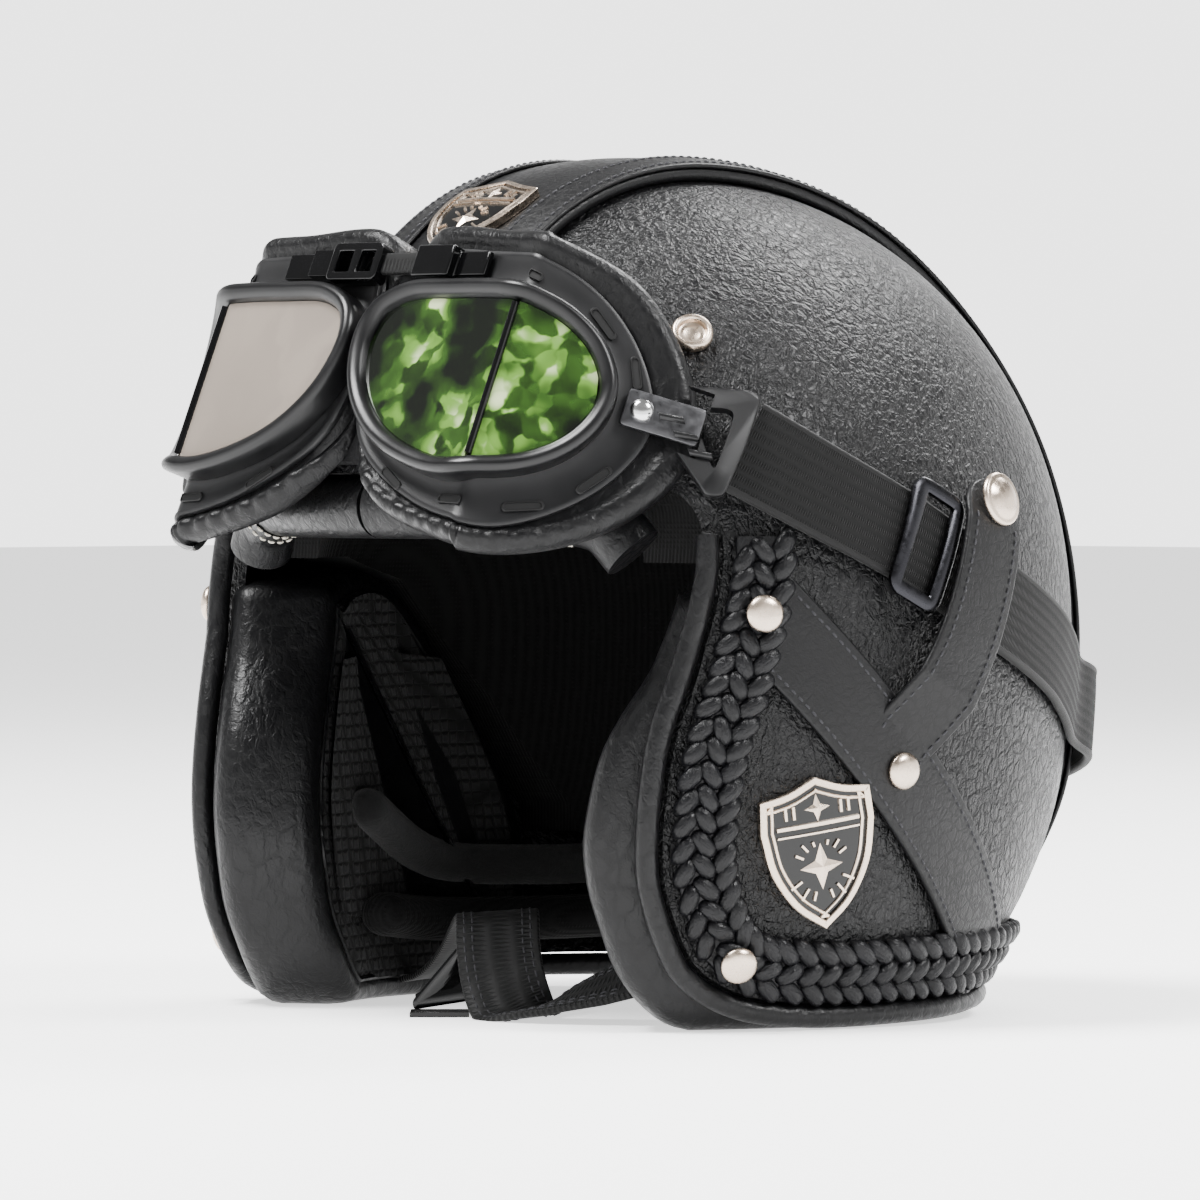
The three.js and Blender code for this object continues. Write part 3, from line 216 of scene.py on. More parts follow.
def smooth_route(places, count, closed=False):
    """Evenly spaced points of a centripetal curve through places."""
    places = np.asarray(places, float)
    if closed:
        padded = np.concatenate([places[-1:], places, places[:2]])
    else:
        padded = np.concatenate([2 * places[:1] - places[1:2], places, 2 * places[-1:] - places[-2:-1]])
    dense = []
    for i in range(len(padded) - 3):
        p0, p1, p2, p3 = padded[i:i + 4]
        t0 = 0.0
        t1 = t0 + max(np.linalg.norm(p1 - p0), 1e-6)**0.5
        t2 = t1 + max(np.linalg.norm(p2 - p1), 1e-6)**0.5
        t3 = t2 + max(np.linalg.norm(p3 - p2), 1e-6)**0.5
        t = np.linspace(t1, t2, 40, endpoint=False)[:, None]
        a1 = (t1 - t) / (t1 - t0) * p0 + (t - t0) / (t1 - t0) * p1
        a2 = (t2 - t) / (t2 - t1) * p1 + (t - t1) / (t2 - t1) * p2
        a3 = (t3 - t) / (t3 - t2) * p2 + (t - t2) / (t3 - t2) * p3
        b1 = (t2 - t) / (t2 - t0) * a1 + (t - t0) / (t2 - t0) * a2
        b2 = (t3 - t) / (t3 - t1) * a2 + (t - t1) / (t3 - t1) * a3
        dense.append((t2 - t) / (t2 - t1) * b1 + (t - t1) / (t2 - t1) * b2)
    dense = np.concatenate(dense + [places[:1] if closed else places[-1:]])
    lengths = np.append(0.0, np.cumsum(np.linalg.norm(np.diff(dense, axis=0), axis=1)))
    wanted = np.linspace(0.0, lengths[-1], count + 1)
    if closed:
        wanted = wanted[:-1]
    return np.stack([np.interp(wanted, lengths, dense[:, k]) for k in range(dense.shape[1])], axis=1)


def frames_along(route, out):
    """Directions along a route and across it, for a given way out of the face."""
    along = unit(np.gradient(route, axis=0))
    across = unit(np.cross(along, out))
    return along, across


def strip_rings(route, profile):
    """Rings of a strip on the shell; profile(share) lists places across and lifts."""
    route = settle(route)
    out = out_of(route)
    _, across = frames_along(route, out)
    rings = []
    count = len(route)
    for i in range(count):
        corners = np.asarray(profile(i / (count - 1)), float)
        foot = settle(route[i] + across[i] * corners[:, :1])
        rings.append(lifted(foot, corners[:, 1]))
    return np.array(rings)


# Meshes


def to_row(points):
    """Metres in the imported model's frame."""
    return (np.asarray(points, float) + np.array([0.0, SHIFT_Y, 0.0])) * 0.001


def mirrored(points):
    return np.asarray(points, float) * np.array([-1.0, 1.0, 1.0])


def only(piece):
    """Leaves one piece selected and active."""
    bpy.ops.object.select_all(action="DESELECT")
    piece.select_set(True)
    bpy.context.view_layer.objects.active = piece


def new_piece(name, points, faces, uvs=None):
    """A mesh object from millimetre points."""
    mesh = bpy.data.meshes.new(name)
    mesh.from_pydata(to_row(points).tolist(), [], [list(map(int, f)) for f in faces])
    if uvs is not None:
        layer = mesh.uv_layers.new(name="UVMap")
        flat = [uvs[v] for f in faces for v in f] if isinstance(uvs, np.ndarray) else uvs
        layer.data.foreach_set("uv", np.asarray(flat, dtype=np.float32).ravel())
    mesh.validate()
    piece = bpy.data.objects.new(name, mesh)
    bpy.context.scene.collection.objects.link(piece)
    return piece


def face_out(piece):
    only(piece)
    bpy.ops.object.mode_set(mode="EDIT")
    bpy.ops.mesh.select_all(action="SELECT")
    bpy.ops.mesh.remove_doubles(threshold=1e-6)
    bpy.ops.mesh.normals_make_consistent(inside=False)
    bpy.ops.object.mode_set(mode="OBJECT")
    return piece


def smooth(piece, angle=35.0):
    only(piece)
    bpy.ops.object.shade_smooth_by_angle(angle=math.radians(angle))
    return piece


def ring_faces(count, size, looped, capped, start=0):
    i = np.arange(count if looped else count - 1)
    j = np.arange(size)
    a = (i[:, None] * size + j[None, :]).ravel()
    b = (i[:, None] * size + (j[None, :] + 1) % size).ravel()
    n = (i + 1) % count
    c = (n[:, None] * size + (j[None, :] + 1) % size).ravel()
    d = (n[:, None] * size + j[None, :]).ravel()
    faces = [list(f) for f in np.stack([a, b, c, d], axis=1) + start]
    if capped and not looped:
        faces.append([start + k for k in range(size)][::-1])
        last = start + (count - 1) * size
        faces.append([last + k for k in range(size)])
    return faces


def ring_uvs(rings, faces, start=0):
    """UVs in metres: along the rings, and round each of them."""
    count, size = rings.shape[:2]
    along = np.append(0.0, np.cumsum(np.linalg.norm(np.diff(rings.mean(axis=1), axis=0), axis=1)))
    middle = rings[count // 2]
    round_it = np.append(0.0, np.cumsum(np.linalg.norm(np.diff(np.append(middle, middle[:1], axis=0),
                                                               axis=0), axis=1)))
    uvs = []
    step = along[-1] / max(count - 1, 1)
    for face in faces:
        rows = [(v - start) // size for v in face]
        cols = [(v - start) % size for v in face]
        wrap_row = max(rows) - min(rows) > 1
        wrap_col = max(cols) - min(cols) > 1 and len(face) == 4
        for r, c in zip(rows, cols):
            u = along[-1] + step if wrap_row and r == 0 else along[r]
            v = round_it[size] if wrap_col and c == 0 else round_it[c]
            uvs.append((u * 0.001, v * 0.001))
    return uvs


def ring_piece(name, rings, looped=False, angle=35.0):
    rings = np.asarray(rings, float)
    faces = ring_faces(rings.shape[0], rings.shape[1], looped, True)
    piece = new_piece(name, rings.reshape(-1, 3), faces, ring_uvs(rings, faces))
    only(piece)
    bpy.ops.object.mode_set(mode="EDIT")
    bpy.ops.mesh.select_all(action="SELECT")
    bpy.ops.mesh.normals_make_consistent(inside=False)
    bpy.ops.object.mode_set(mode="OBJECT")
    return smooth(piece, angle)


def joined(name, pieces):
    """Joins pieces into the first one and names the result."""
    bpy.ops.object.select_all(action="DESELECT")
    for piece in pieces:
        piece.select_set(True)
    bpy.context.view_layer.objects.active = pieces[0]
    if len(pieces) > 1:
        bpy.ops.object.join()
    pieces[0].name = name
    pieces[0].data.name = name
    return pieces[0]


def modified(piece, kind, **settings):
    """Adds a modifier and applies it."""
    only(piece)
    modifier = piece.modifiers.new(kind.title(), kind)
    for key, value in settings.items():
        setattr(modifier, key, value)
    bpy.ops.object.modifier_apply(modifier=modifier.name)
    return piece


def cut_away(piece, tool):
    modified(piece, "BOOLEAN", operation="DIFFERENCE", object=tool, solver="EXACT")
    bpy.data.objects.remove(tool, do_unlink=True)
    return piece


def tube_rings(route, radius, sides=16, taper=0.0, flat=1.0):
    """Rings of a round bar along a route, with rounded ends where tapered."""
    route = np.asarray(route, float)
    along = unit(np.gradient(route, axis=0))
    side = unit(np.cross(along, np.array([0.0, 0.0, 1.0]) + 1e-4))
    up = np.cross(side, along)
    angles = np.arange(sides) * 2 * math.pi / sides
    count = len(route)
    length = np.append(0.0, np.cumsum(np.linalg.norm(np.diff(route, axis=0), axis=1)))
    rings = []
    for i in range(count):
        end = min(length[i], length[-1] - length[i])
        share = 1.0 if taper <= 0 else math.sqrt(max(1 - (1 - min(end / taper, 1.0))**2, 0.02))
        ring = np.cos(angles)[:, None] * side[i] + flat * np.sin(angles)[:, None] * up[i]
        rings.append(route[i] + radius * share * ring)
    return np.array(rings)


def rounded_strip(width, low, high, edge=None, cells=6):
    """Corners of a flat strip with rounded edges, wide enough to bend round the shell."""
    edge = (high - low) / 2 if edge is None else edge
    half = width / 2
    corners = [(half - edge * (1 - math.sin(a)), low + (high - low) / 2 * (1 - math.cos(a))) for a in
               np.linspace(0.15, math.pi - 0.15, 7)]
    corners += [((half - edge) * (1 - 2 * k / cells), high) for k in range(cells + 1)]
    corners += [(-half + edge * (1 - math.sin(a)), low + (high - low) / 2 * (1 - math.cos(a))) for a in
                np.linspace(math.pi - 0.15, 0.15, 7)]
    corners += [(-(half - edge) * (1 - 2 * k / cells), low) for k in range(cells + 1)]
    return corners


def finish_piece(piece, material, *nodes, slot=None):
    """Gives a piece its material and its place in the model."""
    materials = material if isinstance(material, (list, tuple)) else [material]
    if len(piece.data.materials) == 0:
        for each in materials:
            piece.data.materials.append(each)
    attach(piece, "root")
    if nodes:
        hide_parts(*nodes)
    return piece


# Materials


def add_node(tree, kind, inputs=None, **settings):
    """Adds a shader node with its settings; an input is a value or another node's output."""
    node = tree.nodes.new(kind)
    for key, value in settings.items():
        setattr(node, key, value)
    for socket, value in (inputs or {}).items():
        if isinstance(value, bpy.types.NodeSocket):
            tree.links.new(value, node.inputs[socket])
        else:
            node.inputs[socket].default_value = value
    return node


def new_material(name):
    material = bpy.data.materials.new(name)
    material.use_nodes = True
    tree = material.node_tree
    tree.nodes.clear()
    output = add_node(tree, "ShaderNodeOutputMaterial")
    shader = add_node(tree, "ShaderNodeBsdfPrincipled")
    tree.links.new(shader.outputs[0], output.inputs[0])
    return material, tree, shader


def colour4(colour):
    return (colour[0], colour[1], colour[2], 1.0)


def shade(colour, factor):
    return tuple(min(c * factor, 1.0) for c in colour)


def places_in_mm(tree, source="Object"):
    """Coordinates in millimetres, from the object or from the piece's own UV map."""
    coords = add_node(tree, "ShaderNodeTexCoord")
    return add_node(tree, "ShaderNodeVectorMath", {0: coords.outputs[source], "Scale": 1000.0},
                    operation="SCALE").outputs[0]


def bumped(tree, shader, height, depth_mm, before=None):
    """Feeds a height of 0 to 1 into the shader's normal, at a depth in millimetres."""
    inputs = {"Height": height, "Distance": depth_mm * 0.001, "Strength": 1.0}
    if before is not None:
        inputs["Normal"] = before
    bump = add_node(tree, "ShaderNodeBump", inputs)
    tree.links.new(bump.outputs[0], shader.inputs["Normal"])
    return bump.outputs[0]


def leather(name, colour, crease_mm, crease_depth, grain_mm, grain_depth, roughness, stretch=(1, 1, 1),
            wear=1.7, source="Object", sheen=0.0, specular=0.2):
    """Drum-tumbled cow hide: creases that enclose low cells, with painted shade darkening the creases, and a
    fine grain over them.
    """
    material, tree, shader = new_material(name)
    places = places_in_mm(tree, source)
    drift = add_node(tree, "ShaderNodeTexNoise",
                     {"Vector": places, "Scale": 1 / (crease_mm * 2.2), "Detail": 4.0,
                                                  "Roughness": 0.6})
    pull = add_node(tree, "ShaderNodeVectorMath", {0: drift.outputs["Color"], "Scale": crease_mm * 1.9},
                    operation="SCALE")
    moved = add_node(tree, "ShaderNodeVectorMath", {0: places, 1: pull.outputs[0]}, operation="ADD")
    turned = add_node(tree, "ShaderNodeMapping", {"Vector": moved.outputs[0], "Scale": stretch})
    cells = add_node(tree, "ShaderNodeTexVoronoi", {"Vector": turned.outputs[0], "Scale": 1 / crease_mm,
                                                    "Randomness": 1.0}, feature="DISTANCE_TO_EDGE")
    crease = add_node(tree, "ShaderNodeMapRange", {"Value": cells.outputs["Distance"], "From Min": 0.0,
                                                   "From Max": 0.22}, interpolation_type="SMOOTHSTEP")
    small = add_node(tree, "ShaderNodeTexVoronoi", {"Vector": turned.outputs[0], "Scale": 2.3 / crease_mm,
                                                    "Randomness": 1.0}, feature="DISTANCE_TO_EDGE")
    fold = add_node(tree, "ShaderNodeMapRange", {"Value": small.outputs["Distance"], "From Min": 0.0,
                                                 "From Max": 0.2}, interpolation_type="SMOOTHSTEP")
    grain = add_node(tree, "ShaderNodeTexVoronoi", {"Vector": moved.outputs[0], "Scale": 1 / grain_mm},
                     feature="SMOOTH_F1")
    patch = add_node(tree, "ShaderNodeTexNoise", {"Vector": places, "Scale": 1 / 28.0, "Detail": 3.0})
    calm = add_node(tree, "ShaderNodeMapRange",
                    {"Value": patch.outputs[0], "From Min": 0.35, "From Max": 0.65,
                                                 "To Min": 0.45, "To Max": 1.0})
    sum_cells = add_node(tree, "ShaderNodeMath", {0: fold.outputs[0], 1: 0.45, 2: crease.outputs[0]},
                         operation="MULTIPLY_ADD")
    height = add_node(tree, "ShaderNodeMath", {0: sum_cells.outputs[0], 1: calm.outputs[0]},
                      operation="MULTIPLY")
    low = bumped(tree, shader, grain.outputs["Distance"], -grain_depth)
    bumped(tree, shader, height.outputs[0], crease_depth, low)
    # Painted shade: the creases are coloured darker, at 0.75 of the colour, than the cells between them.
    tone = add_node(tree, "ShaderNodeMix",
                    {0: crease.outputs[0], 6: colour4(shade(colour, 0.75)), 7: colour4(colour)},
                    data_type="RGBA")
    worn = add_node(tree, "ShaderNodeMapRange", {"Value": patch.outputs[0], "From Min": 0.5, "From Max": 0.8,
                                                 "To Min": 0.0, "To Max": 0.6})
    final = add_node(tree, "ShaderNodeMix", {0: worn.outputs[0], 6: tone.outputs[2],
                                             7: colour4(shade(colour, wear))}, data_type="RGBA")
    tree.links.new(final.outputs[2], shader.inputs["Base Color"])
    gloss = add_node(tree, "ShaderNodeMapRange",
                     {"Value": crease.outputs[0], "To Min": min(roughness + 0.12, 1.0),
                                                  "To Max": roughness})
    tree.links.new(gloss.outputs[0], shader.inputs["Roughness"])
    shader.inputs["Specular IOR Level"].default_value = specular
    shader.inputs["Sheen Weight"].default_value = sheen
    shader.inputs["Sheen Roughness"].default_value = 0.5
    return material


def cloth(name, colour, thread_mm, depth, kind="woven", source="Object", roughness=0.9, sheen=0.25):
    """Woven, ribbed or napped fabric with painted shade: the low places between threads are coloured darker
    and the raised threads lighter.
    """
    material, tree, shader = new_material(name)
    places = places_in_mm(tree, source)
    if kind == "napped":
        nap = add_node(tree, "ShaderNodeTexNoise", {"Vector": places, "Scale": 1 / thread_mm, "Detail": 5.0,
                                                    "Roughness": 0.75})
        height = nap.outputs[0]
    elif kind == "cells":
        comb = add_node(tree, "ShaderNodeTexVoronoi",
                        {"Vector": places, "Scale": 1 / thread_mm, "Randomness": 0.12},
                        feature="DISTANCE_TO_EDGE")
        height = add_node(tree, "ShaderNodeMapRange", {"Value": comb.outputs[0], "From Max": 0.3},
                          interpolation_type="SMOOTHSTEP").outputs[0]
    else:
        scale = (1.0, 1.0, 1.0) if kind == "woven" else (1.0, 0.22, 1.0)
        turned = add_node(tree, "ShaderNodeMapping", {"Vector": places, "Scale": scale})
        one = add_node(tree, "ShaderNodeTexWave", {"Vector": turned.outputs[0], "Scale": 0.32 / thread_mm,
                                                   "Distortion": 0.6, "Detail": 1.0, "Detail Scale": 2.0},
                       bands_direction="X")
        two = add_node(tree, "ShaderNodeTexWave", {"Vector": turned.outputs[0], "Scale": 0.32 / thread_mm,
                                                   "Distortion": 0.6, "Detail": 1.0, "Detail Scale": 2.0},
                       bands_direction="Y")
        if source == "Object":
            three = add_node(tree, "ShaderNodeTexWave",
                             {"Vector": turned.outputs[0], "Scale": 0.32 / thread_mm,
                                                         "Distortion": 0.6}, bands_direction="Z")
            two = add_node(tree, "ShaderNodeMath", {0: two.outputs["Fac"], 1: three.outputs["Fac"]},
                           operation="MULTIPLY")
        height = add_node(tree, "ShaderNodeMath", {0: one.outputs["Fac"], 1: two.outputs[0]},
                          operation="MAXIMUM").outputs[0]
    bumped(tree, shader, height, depth)
    # Painted shade and painted light: darker in the low places of the weave, lighter on the raised threads.
    tone = add_node(tree, "ShaderNodeMix",
                    {0: height, 6: colour4(shade(colour, 0.45)), 7: colour4(shade(colour, 1.5))},
                    data_type="RGBA")
    tree.links.new(tone.outputs[2], shader.inputs["Base Color"])
    shader.inputs["Roughness"].default_value = roughness
    shader.inputs["Specular IOR Level"].default_value = 0.15
    shader.inputs["Sheen Weight"].default_value = sheen * 0.3
    shader.inputs["Sheen Roughness"].default_value = 0.4
    return material


def plastic(name, colour, roughness, grain_mm=0.5, depth=0.012):
    """Moulded nylon or ABS with a fine spark-eroded texture."""
    material, tree, shader = new_material(name)
    places = places_in_mm(tree)
    grain = add_node(tree, "ShaderNodeTexNoise", {"Vector": places, "Scale": 1 / grain_mm, "Detail": 3.0})
    patch = add_node(tree, "ShaderNodeTexNoise", {"Vector": places, "Scale": 1 / 14.0, "Detail": 3.0})
    bumped(tree, shader, grain.outputs[0], depth)
    gloss = add_node(tree, "ShaderNodeMapRange", {"Value": patch.outputs[0], "From Min": 0.3, "From Max": 0.7,
                                                  "To Min": roughness - 0.06, "To Max": roughness + 0.06})
    tree.links.new(gloss.outputs[0], shader.inputs["Roughness"])
    tone = add_node(tree, "ShaderNodeMix", {0: patch.outputs[0], 6: colour4(shade(colour, 0.85)),
                                            7: colour4(shade(colour, 1.2))}, data_type="RGBA")
    tree.links.new(tone.outputs[2], shader.inputs["Base Color"])
    shader.inputs["IOR"].default_value = 1.5
    shader.inputs["Specular IOR Level"].default_value = 0.3
    return material


def metal(name, colour, roughness, brushed_mm=0.0):
    """Plated or brushed metal with faint wear in its gloss."""
    material, tree, shader = new_material(name)
    places = places_in_mm(tree)
    patch = add_node(tree, "ShaderNodeTexNoise", {"Vector": places, "Scale": 1 / 2.6, "Detail": 5.0,
                                                  "Roughness": 0.65})
    gloss = add_node(tree, "ShaderNodeMapRange",
                     {"Value": patch.outputs[0], "From Min": 0.3, "From Max": 0.75,
                                                  "To Min": roughness - 0.07, "To Max": roughness + 0.12})
    tree.links.new(gloss.outputs[0], shader.inputs["Roughness"])
    tone = add_node(tree, "ShaderNodeMix", {0: patch.outputs[0], 6: colour4(shade(colour, 0.8)),
                                            7: colour4(shade(colour, 1.12))}, data_type="RGBA")
    tree.links.new(tone.outputs[2], shader.inputs["Base Color"])
    shader.inputs["Metallic"].default_value = 1.0
    fine = add_node(tree, "ShaderNodeTexNoise",
                    {"Vector": places, "Scale": 1 / max(brushed_mm, 0.5), "Detail": 2.0})
    bumped(tree, shader, fine.outputs[0], 0.008)
    return material


def painted_reflection_lens(name, dark, tones, reflected_leaf_mm, roughness=0.06):
    """Mirror-coated pane with a painted reflection: a soft room or garden is painted into its colour as
    blurred patches of tone, which also glow faintly.
    """
    material, tree, shader = new_material(name)
    places = places_in_mm(tree)
    drift = add_node(tree, "ShaderNodeTexNoise",
                     {"Vector": places, "Scale": 1 / (reflected_leaf_mm * 2.5), "Detail": 3.0})
    pull = add_node(tree, "ShaderNodeVectorMath", {0: drift.outputs["Color"], "Scale": reflected_leaf_mm * 3.0},
                    operation="SCALE")
    moved = add_node(tree, "ShaderNodeVectorMath", {0: places, 1: pull.outputs[0]}, operation="ADD")
    leaves = add_node(tree, "ShaderNodeTexVoronoi", {"Vector": moved.outputs[0], "Scale": 1 / reflected_leaf_mm,
                                                     "Smoothness": 0.35}, feature="SMOOTH_F1")
    reflection_patches = add_node(tree, "ShaderNodeTexNoise",
                    {"Vector": places, "Scale": 1 / (reflected_leaf_mm * 3.4), "Detail": 2.0})
    # Painted light: brighter and darker patches of the painted reflection.
    light = add_node(tree, "ShaderNodeMapRange",
                     {"Value": reflection_patches.outputs[0], "From Min": 0.32, "From Max": 0.68})
    painted_reflection_tone = add_node(tree, "ShaderNodeMath", {0: leaves.outputs["Color"], 1: light.outputs[0]},
                   operation="MULTIPLY")
    tone = add_node(tree, "ShaderNodeValToRGB", {"Fac": painted_reflection_tone.outputs[0]})
    ramp = tone.color_ramp
    ramp.interpolation = "EASE"
    ramp.elements[0].color = colour4(dark)
    ramp.elements[1].color = colour4(tones[-1])
    ramp.elements[1].position = 0.72
    for place, colour in zip((0.12, 0.28, 0.46), tones):
        ramp.elements.new(place).color = colour4(colour)
    # The painted reflection sets the base colour and a faint emission, so the pane glows.
    tree.links.new(tone.outputs["Color"], shader.inputs["Base Color"])
    tree.links.new(tone.outputs["Color"], shader.inputs["Emission Color"])
    shader.inputs["Emission Strength"].default_value = 0.1
    shader.inputs["Metallic"].default_value = 0.35
    shader.inputs["Roughness"].default_value = roughness
    shader.inputs["Coat Weight"].default_value = 0.6
    shader.inputs["Coat Roughness"].default_value = 0.02
    return material


LOOKS = {}


def make_looks():
    """All finishes of the helmet, by name."""
    skin = bpy.context.scene.helmet_leather
    eye = bpy.context.scene.helmet_goggles
    trim = bpy.context.scene.helmet_trim
    cover, soft = tuple(skin.cover), tuple(skin.smooth)
    LOOKS["cover"] = leather("wrinkled_cow_hide", cover, skin.crease, 0.42, 0.8, 0.08, 0.33,
                             stretch=(1.0, 1.0, 0.72))
    LOOKS["band"] = leather("smooth_cow_hide", soft, 3.2, 0.05, 0.55, 0.05, 0.36)
    LOOKS["roll"] = leather("soft_sheep_nappa", soft, 4.5, 0.10, 0.7, 0.05, 0.34, stretch=(1.0, 1.0, 0.5))
    LOOKS["braid"] = leather("braiding_lace", tuple(skin.braid), 3.0, 0.10, 0.6, 0.06, 0.33, source="UV",
                             stretch=(0.3, 1.6, 1.0), wear=2.2)
    LOOKS["thread"] = cloth("waxed_thread", shade(soft, 9.0), 0.5, 0.03, kind="napped", roughness=0.6,
                            sheen=0.1)
    LOOKS["pale_thread"] = cloth("pale_thread", tuple(skin.thread), 0.5, 0.03, kind="napped", roughness=0.6,
                                 sheen=0.1)
    LOOKS["lining"] = cloth("brushed_tricot", tuple(trim.fabric), 1.4, 0.16, roughness=0.95, sheen=0.08)
    LOOKS["mesh"] = cloth("spacer_mesh", shade(tuple(trim.fabric), 5.0), 3.6, 0.7, kind="cells",
                          roughness=0.8,
                          sheen=0.1)
    LOOKS["fleece"] = cloth("knitted_fleece", shade(tuple(trim.fabric), 2.2), 0.9, 0.5, kind="napped",
                            roughness=1.0, sheen=0.3)
    LOOKS["elastic"] = cloth("knitted_elastic", shade(tuple(trim.fabric), 1.5), 0.75, 0.26, kind="rib",
                             source="UV",
                             roughness=0.92, sheen=0.2)
    LOOKS["edge"] = cloth("woven_selvedge", shade(tuple(trim.fabric), 1.5), 0.5, 0.05, source="UV",
                          roughness=0.6)
    LOOKS["webbing"] = cloth("nylon_webbing", tuple(trim.webbing), 1.5, 0.25, kind="rib", source="UV",
                             roughness=0.55, sheen=0.1)
    LOOKS["plastic"] = plastic("moulded_nylon", tuple(eye.plastic), 0.36)
    LOOKS["rim"] = plastic("moulded_rim", tuple(eye.plastic), 0.33, 0.9, 0.008)
    LOOKS["gloss"] = plastic("polished_acetal", shade(tuple(eye.plastic), 0.6), 0.14, 2.0, 0.004)
    LOOKS["plate"] = plastic("satin_plate", tuple(eye.plate), 0.42, 0.35, 0.014)
    # Painted shade: the vent slot pockets are nearly black, standing in for the dark inside the open slots.
    LOOKS["slot"] = plastic("vent_slot_painted_shade", shade(tuple(eye.plastic), 0.15), 0.6)
    # Painted reflections: the left lens gets green foliage tones, the right lens grey-brown room tones.
    green, smoke = tuple(eye.lens_left), tuple(eye.lens_right)
    reflection_greens = (shade(green, 0.35), green, hex_colour("#5f8a35"), hex_colour("#c9d8a6"))
    LOOKS["lens_left"] = painted_reflection_lens("green_mirror_painted_reflection", hex_colour("#050a03"), reflection_greens, 5.5)
    reflection_smokes = (shade(smoke, 0.92), smoke, shade(smoke, 1.05), shade(smoke, 1.15))
    LOOKS["lens_right"] = painted_reflection_lens("smoke_mirror_painted_reflection", shade(smoke, 0.85), reflection_smokes, 16.0)
    LOOKS["nickel"] = metal("champagne_nickel", tuple(trim.nickel), 0.26)
    LOOKS["steel"] = metal("satin_steel", tuple(trim.steel), 0.34)
    LOOKS["bright"] = metal("polished_steel", (0.72, 0.72, 0.71), 0.14)
    LOOKS["slider"] = metal("black_nickel", tuple(eye.slider), 0.26)
    LOOKS["enamel"] = plastic("black_enamel", hex_colour("#040404"), 0.16, 1.5, 0.004)


# Edge of the shell, on the left face

EDGE_PLACES = (
    (-87.0, 155.0), (-71.0, 153.0), (-64.0, 146.0), (-63.0, 134.0), (-69.0, 104.0), (-76.5, 79.0),
    (-79.0, 54.0),
    (-76.5, 37.0), (-67.5, 19.0), (-55.5, 11.0), (-40.0, 8.0), (0.0, 8.0), (52.0, 10.5))
EDGE_START = 0.12
BRAID_WIDTH = 17.0
PIPING = 6.5
BACK_RIM = 13.0


def edge_route(offset, count=96):
    flat = smooth_route([(0.0, y, z) for y, z in EDGE_PLACES], count)
    along = unit(np.gradient(flat, axis=0))
    return np.stack([np.zeros(len(flat)), flat[:, 1] - along[:, 2] * offset,
                     flat[:, 2] + along[:, 1] * offset], 1)


def rim_route(offset, count, start=EDGE_START):
    """Route along the edge, then round the back rim to its middle."""
    edge = edge_route(offset)
    side = edge[int(round(len(edge) * start)):]
    side = side_point(side[:, 1], side[:, 2])
    last = side[-1]
    turn = math.degrees(math.atan2(last[0], -last[1]))
    share = np.linspace(0.0, 1.0, 15)[1:]
    back = ring_point(turn + (180 - turn) * share, last[2] + (BACK_RIM + offset - last[2]) * share)
    return smooth_route(np.concatenate([side[::3], back]), count)


def opening_tool(offset, name="opening"):
    """Prism across the whole width, in front of and under the edge."""
    edge = edge_route(offset)
    outline = [(-260.0, edge[0, 2])] + [(p[1], p[2]) for p in edge]
    outline += [(134.0, BACK_RIM + offset), (260.0, BACK_RIM + offset), (260.0, -260.0), (-260.0, -260.0)]
    return prism(name, outline)


def prism(name, outline):
    count = len(outline)
    points = [(side, y, z) for side in (-260.0, 260.0) for y, z in outline]
    faces = [list(range(count)), list(range(2 * count - 1, count - 1, -1))]
    faces += [[i, (i + 1) % count, count + (i + 1) % count, count + i] for i in range(count)]
    return face_out(new_piece(name, points, faces))


def dome_skin(inset, foot, turns, low_rows, rises):
    rings = [ring_point(np.arange(turns) * 360.0 / turns, z, inset)
             for z in np.linspace(foot, WIDEST_HEIGHT, low_rows, endpoint=False)]
    angle = np.radians(np.arange(turns) * 360.0 / turns)
    for climb in np.linspace(0.0, math.pi / 2, rises, endpoint=False):
        ways = np.stack([np.sin(angle) * math.cos(climb), -np.cos(angle) * math.cos(climb),
                         np.full(turns, math.sin(climb))], axis=1)
        rings.append(cast_out(np.array([0.0, 0.0, WIDEST_HEIGHT]), ways, inset))
    return np.array(rings)


def cap_piece(name, outer, inner, foot, turns=180, low_rows=20, rises=44):
    """Closed cap between two skins, open at its foot."""
    skins = [dome_skin(inset, foot, turns, low_rows, rises) for inset in (outer, inner)]
    rows = skins[0].shape[0]
    points = np.concatenate([skins[0].reshape(-1, 3), skins[1].reshape(-1, 3),
                             [(0, 0, CROWN_HEIGHT - outer), (0, 0, CROWN_HEIGHT - inner)]])
    start = rows * turns
    faces = ring_faces(rows, turns, False, False) + ring_faces(rows, turns, False, False, start)
    last = start - turns
    for j in range(turns):
        k = (j + 1) % turns
        faces.append([last + j, last + k, 2 * start])
        faces.append([start + last + j, start + last + k, 2 * start + 1])
        faces.append([j, k, start + k, start + j])
    return face_out(new_piece(name, points, faces))


def make_shell():
    piece = cut_away(cap_piece("shell_cover", 0.0, SHELL_WALL, 0.0), opening_tool(0.0))
    finish_piece(smooth(piece), LOOKS["cover"], "shell", slot="wrinkled_leather")


def make_lining():
    piece = cap_piece("lining", SHELL_WALL + 0.6, SHELL_WALL + 0.6 + LINER_WALL, NECK_LINE, 120, 12, 30)
    cut_away(piece, opening_tool(3.0))
    cut_away(piece, prism("cheek_room", [(-224.0, 130.0), (-25.0, 130.0), (2.0, 123.0), (34.2, 87.8),
                                         (55.0, 55.2),
                                         (55.0, -10.0), (-224.0, -10.0)]))
    finish_piece(smooth(piece), LOOKS["lining"], "comfort_liner", slot="lining_fabric")


# Crown band

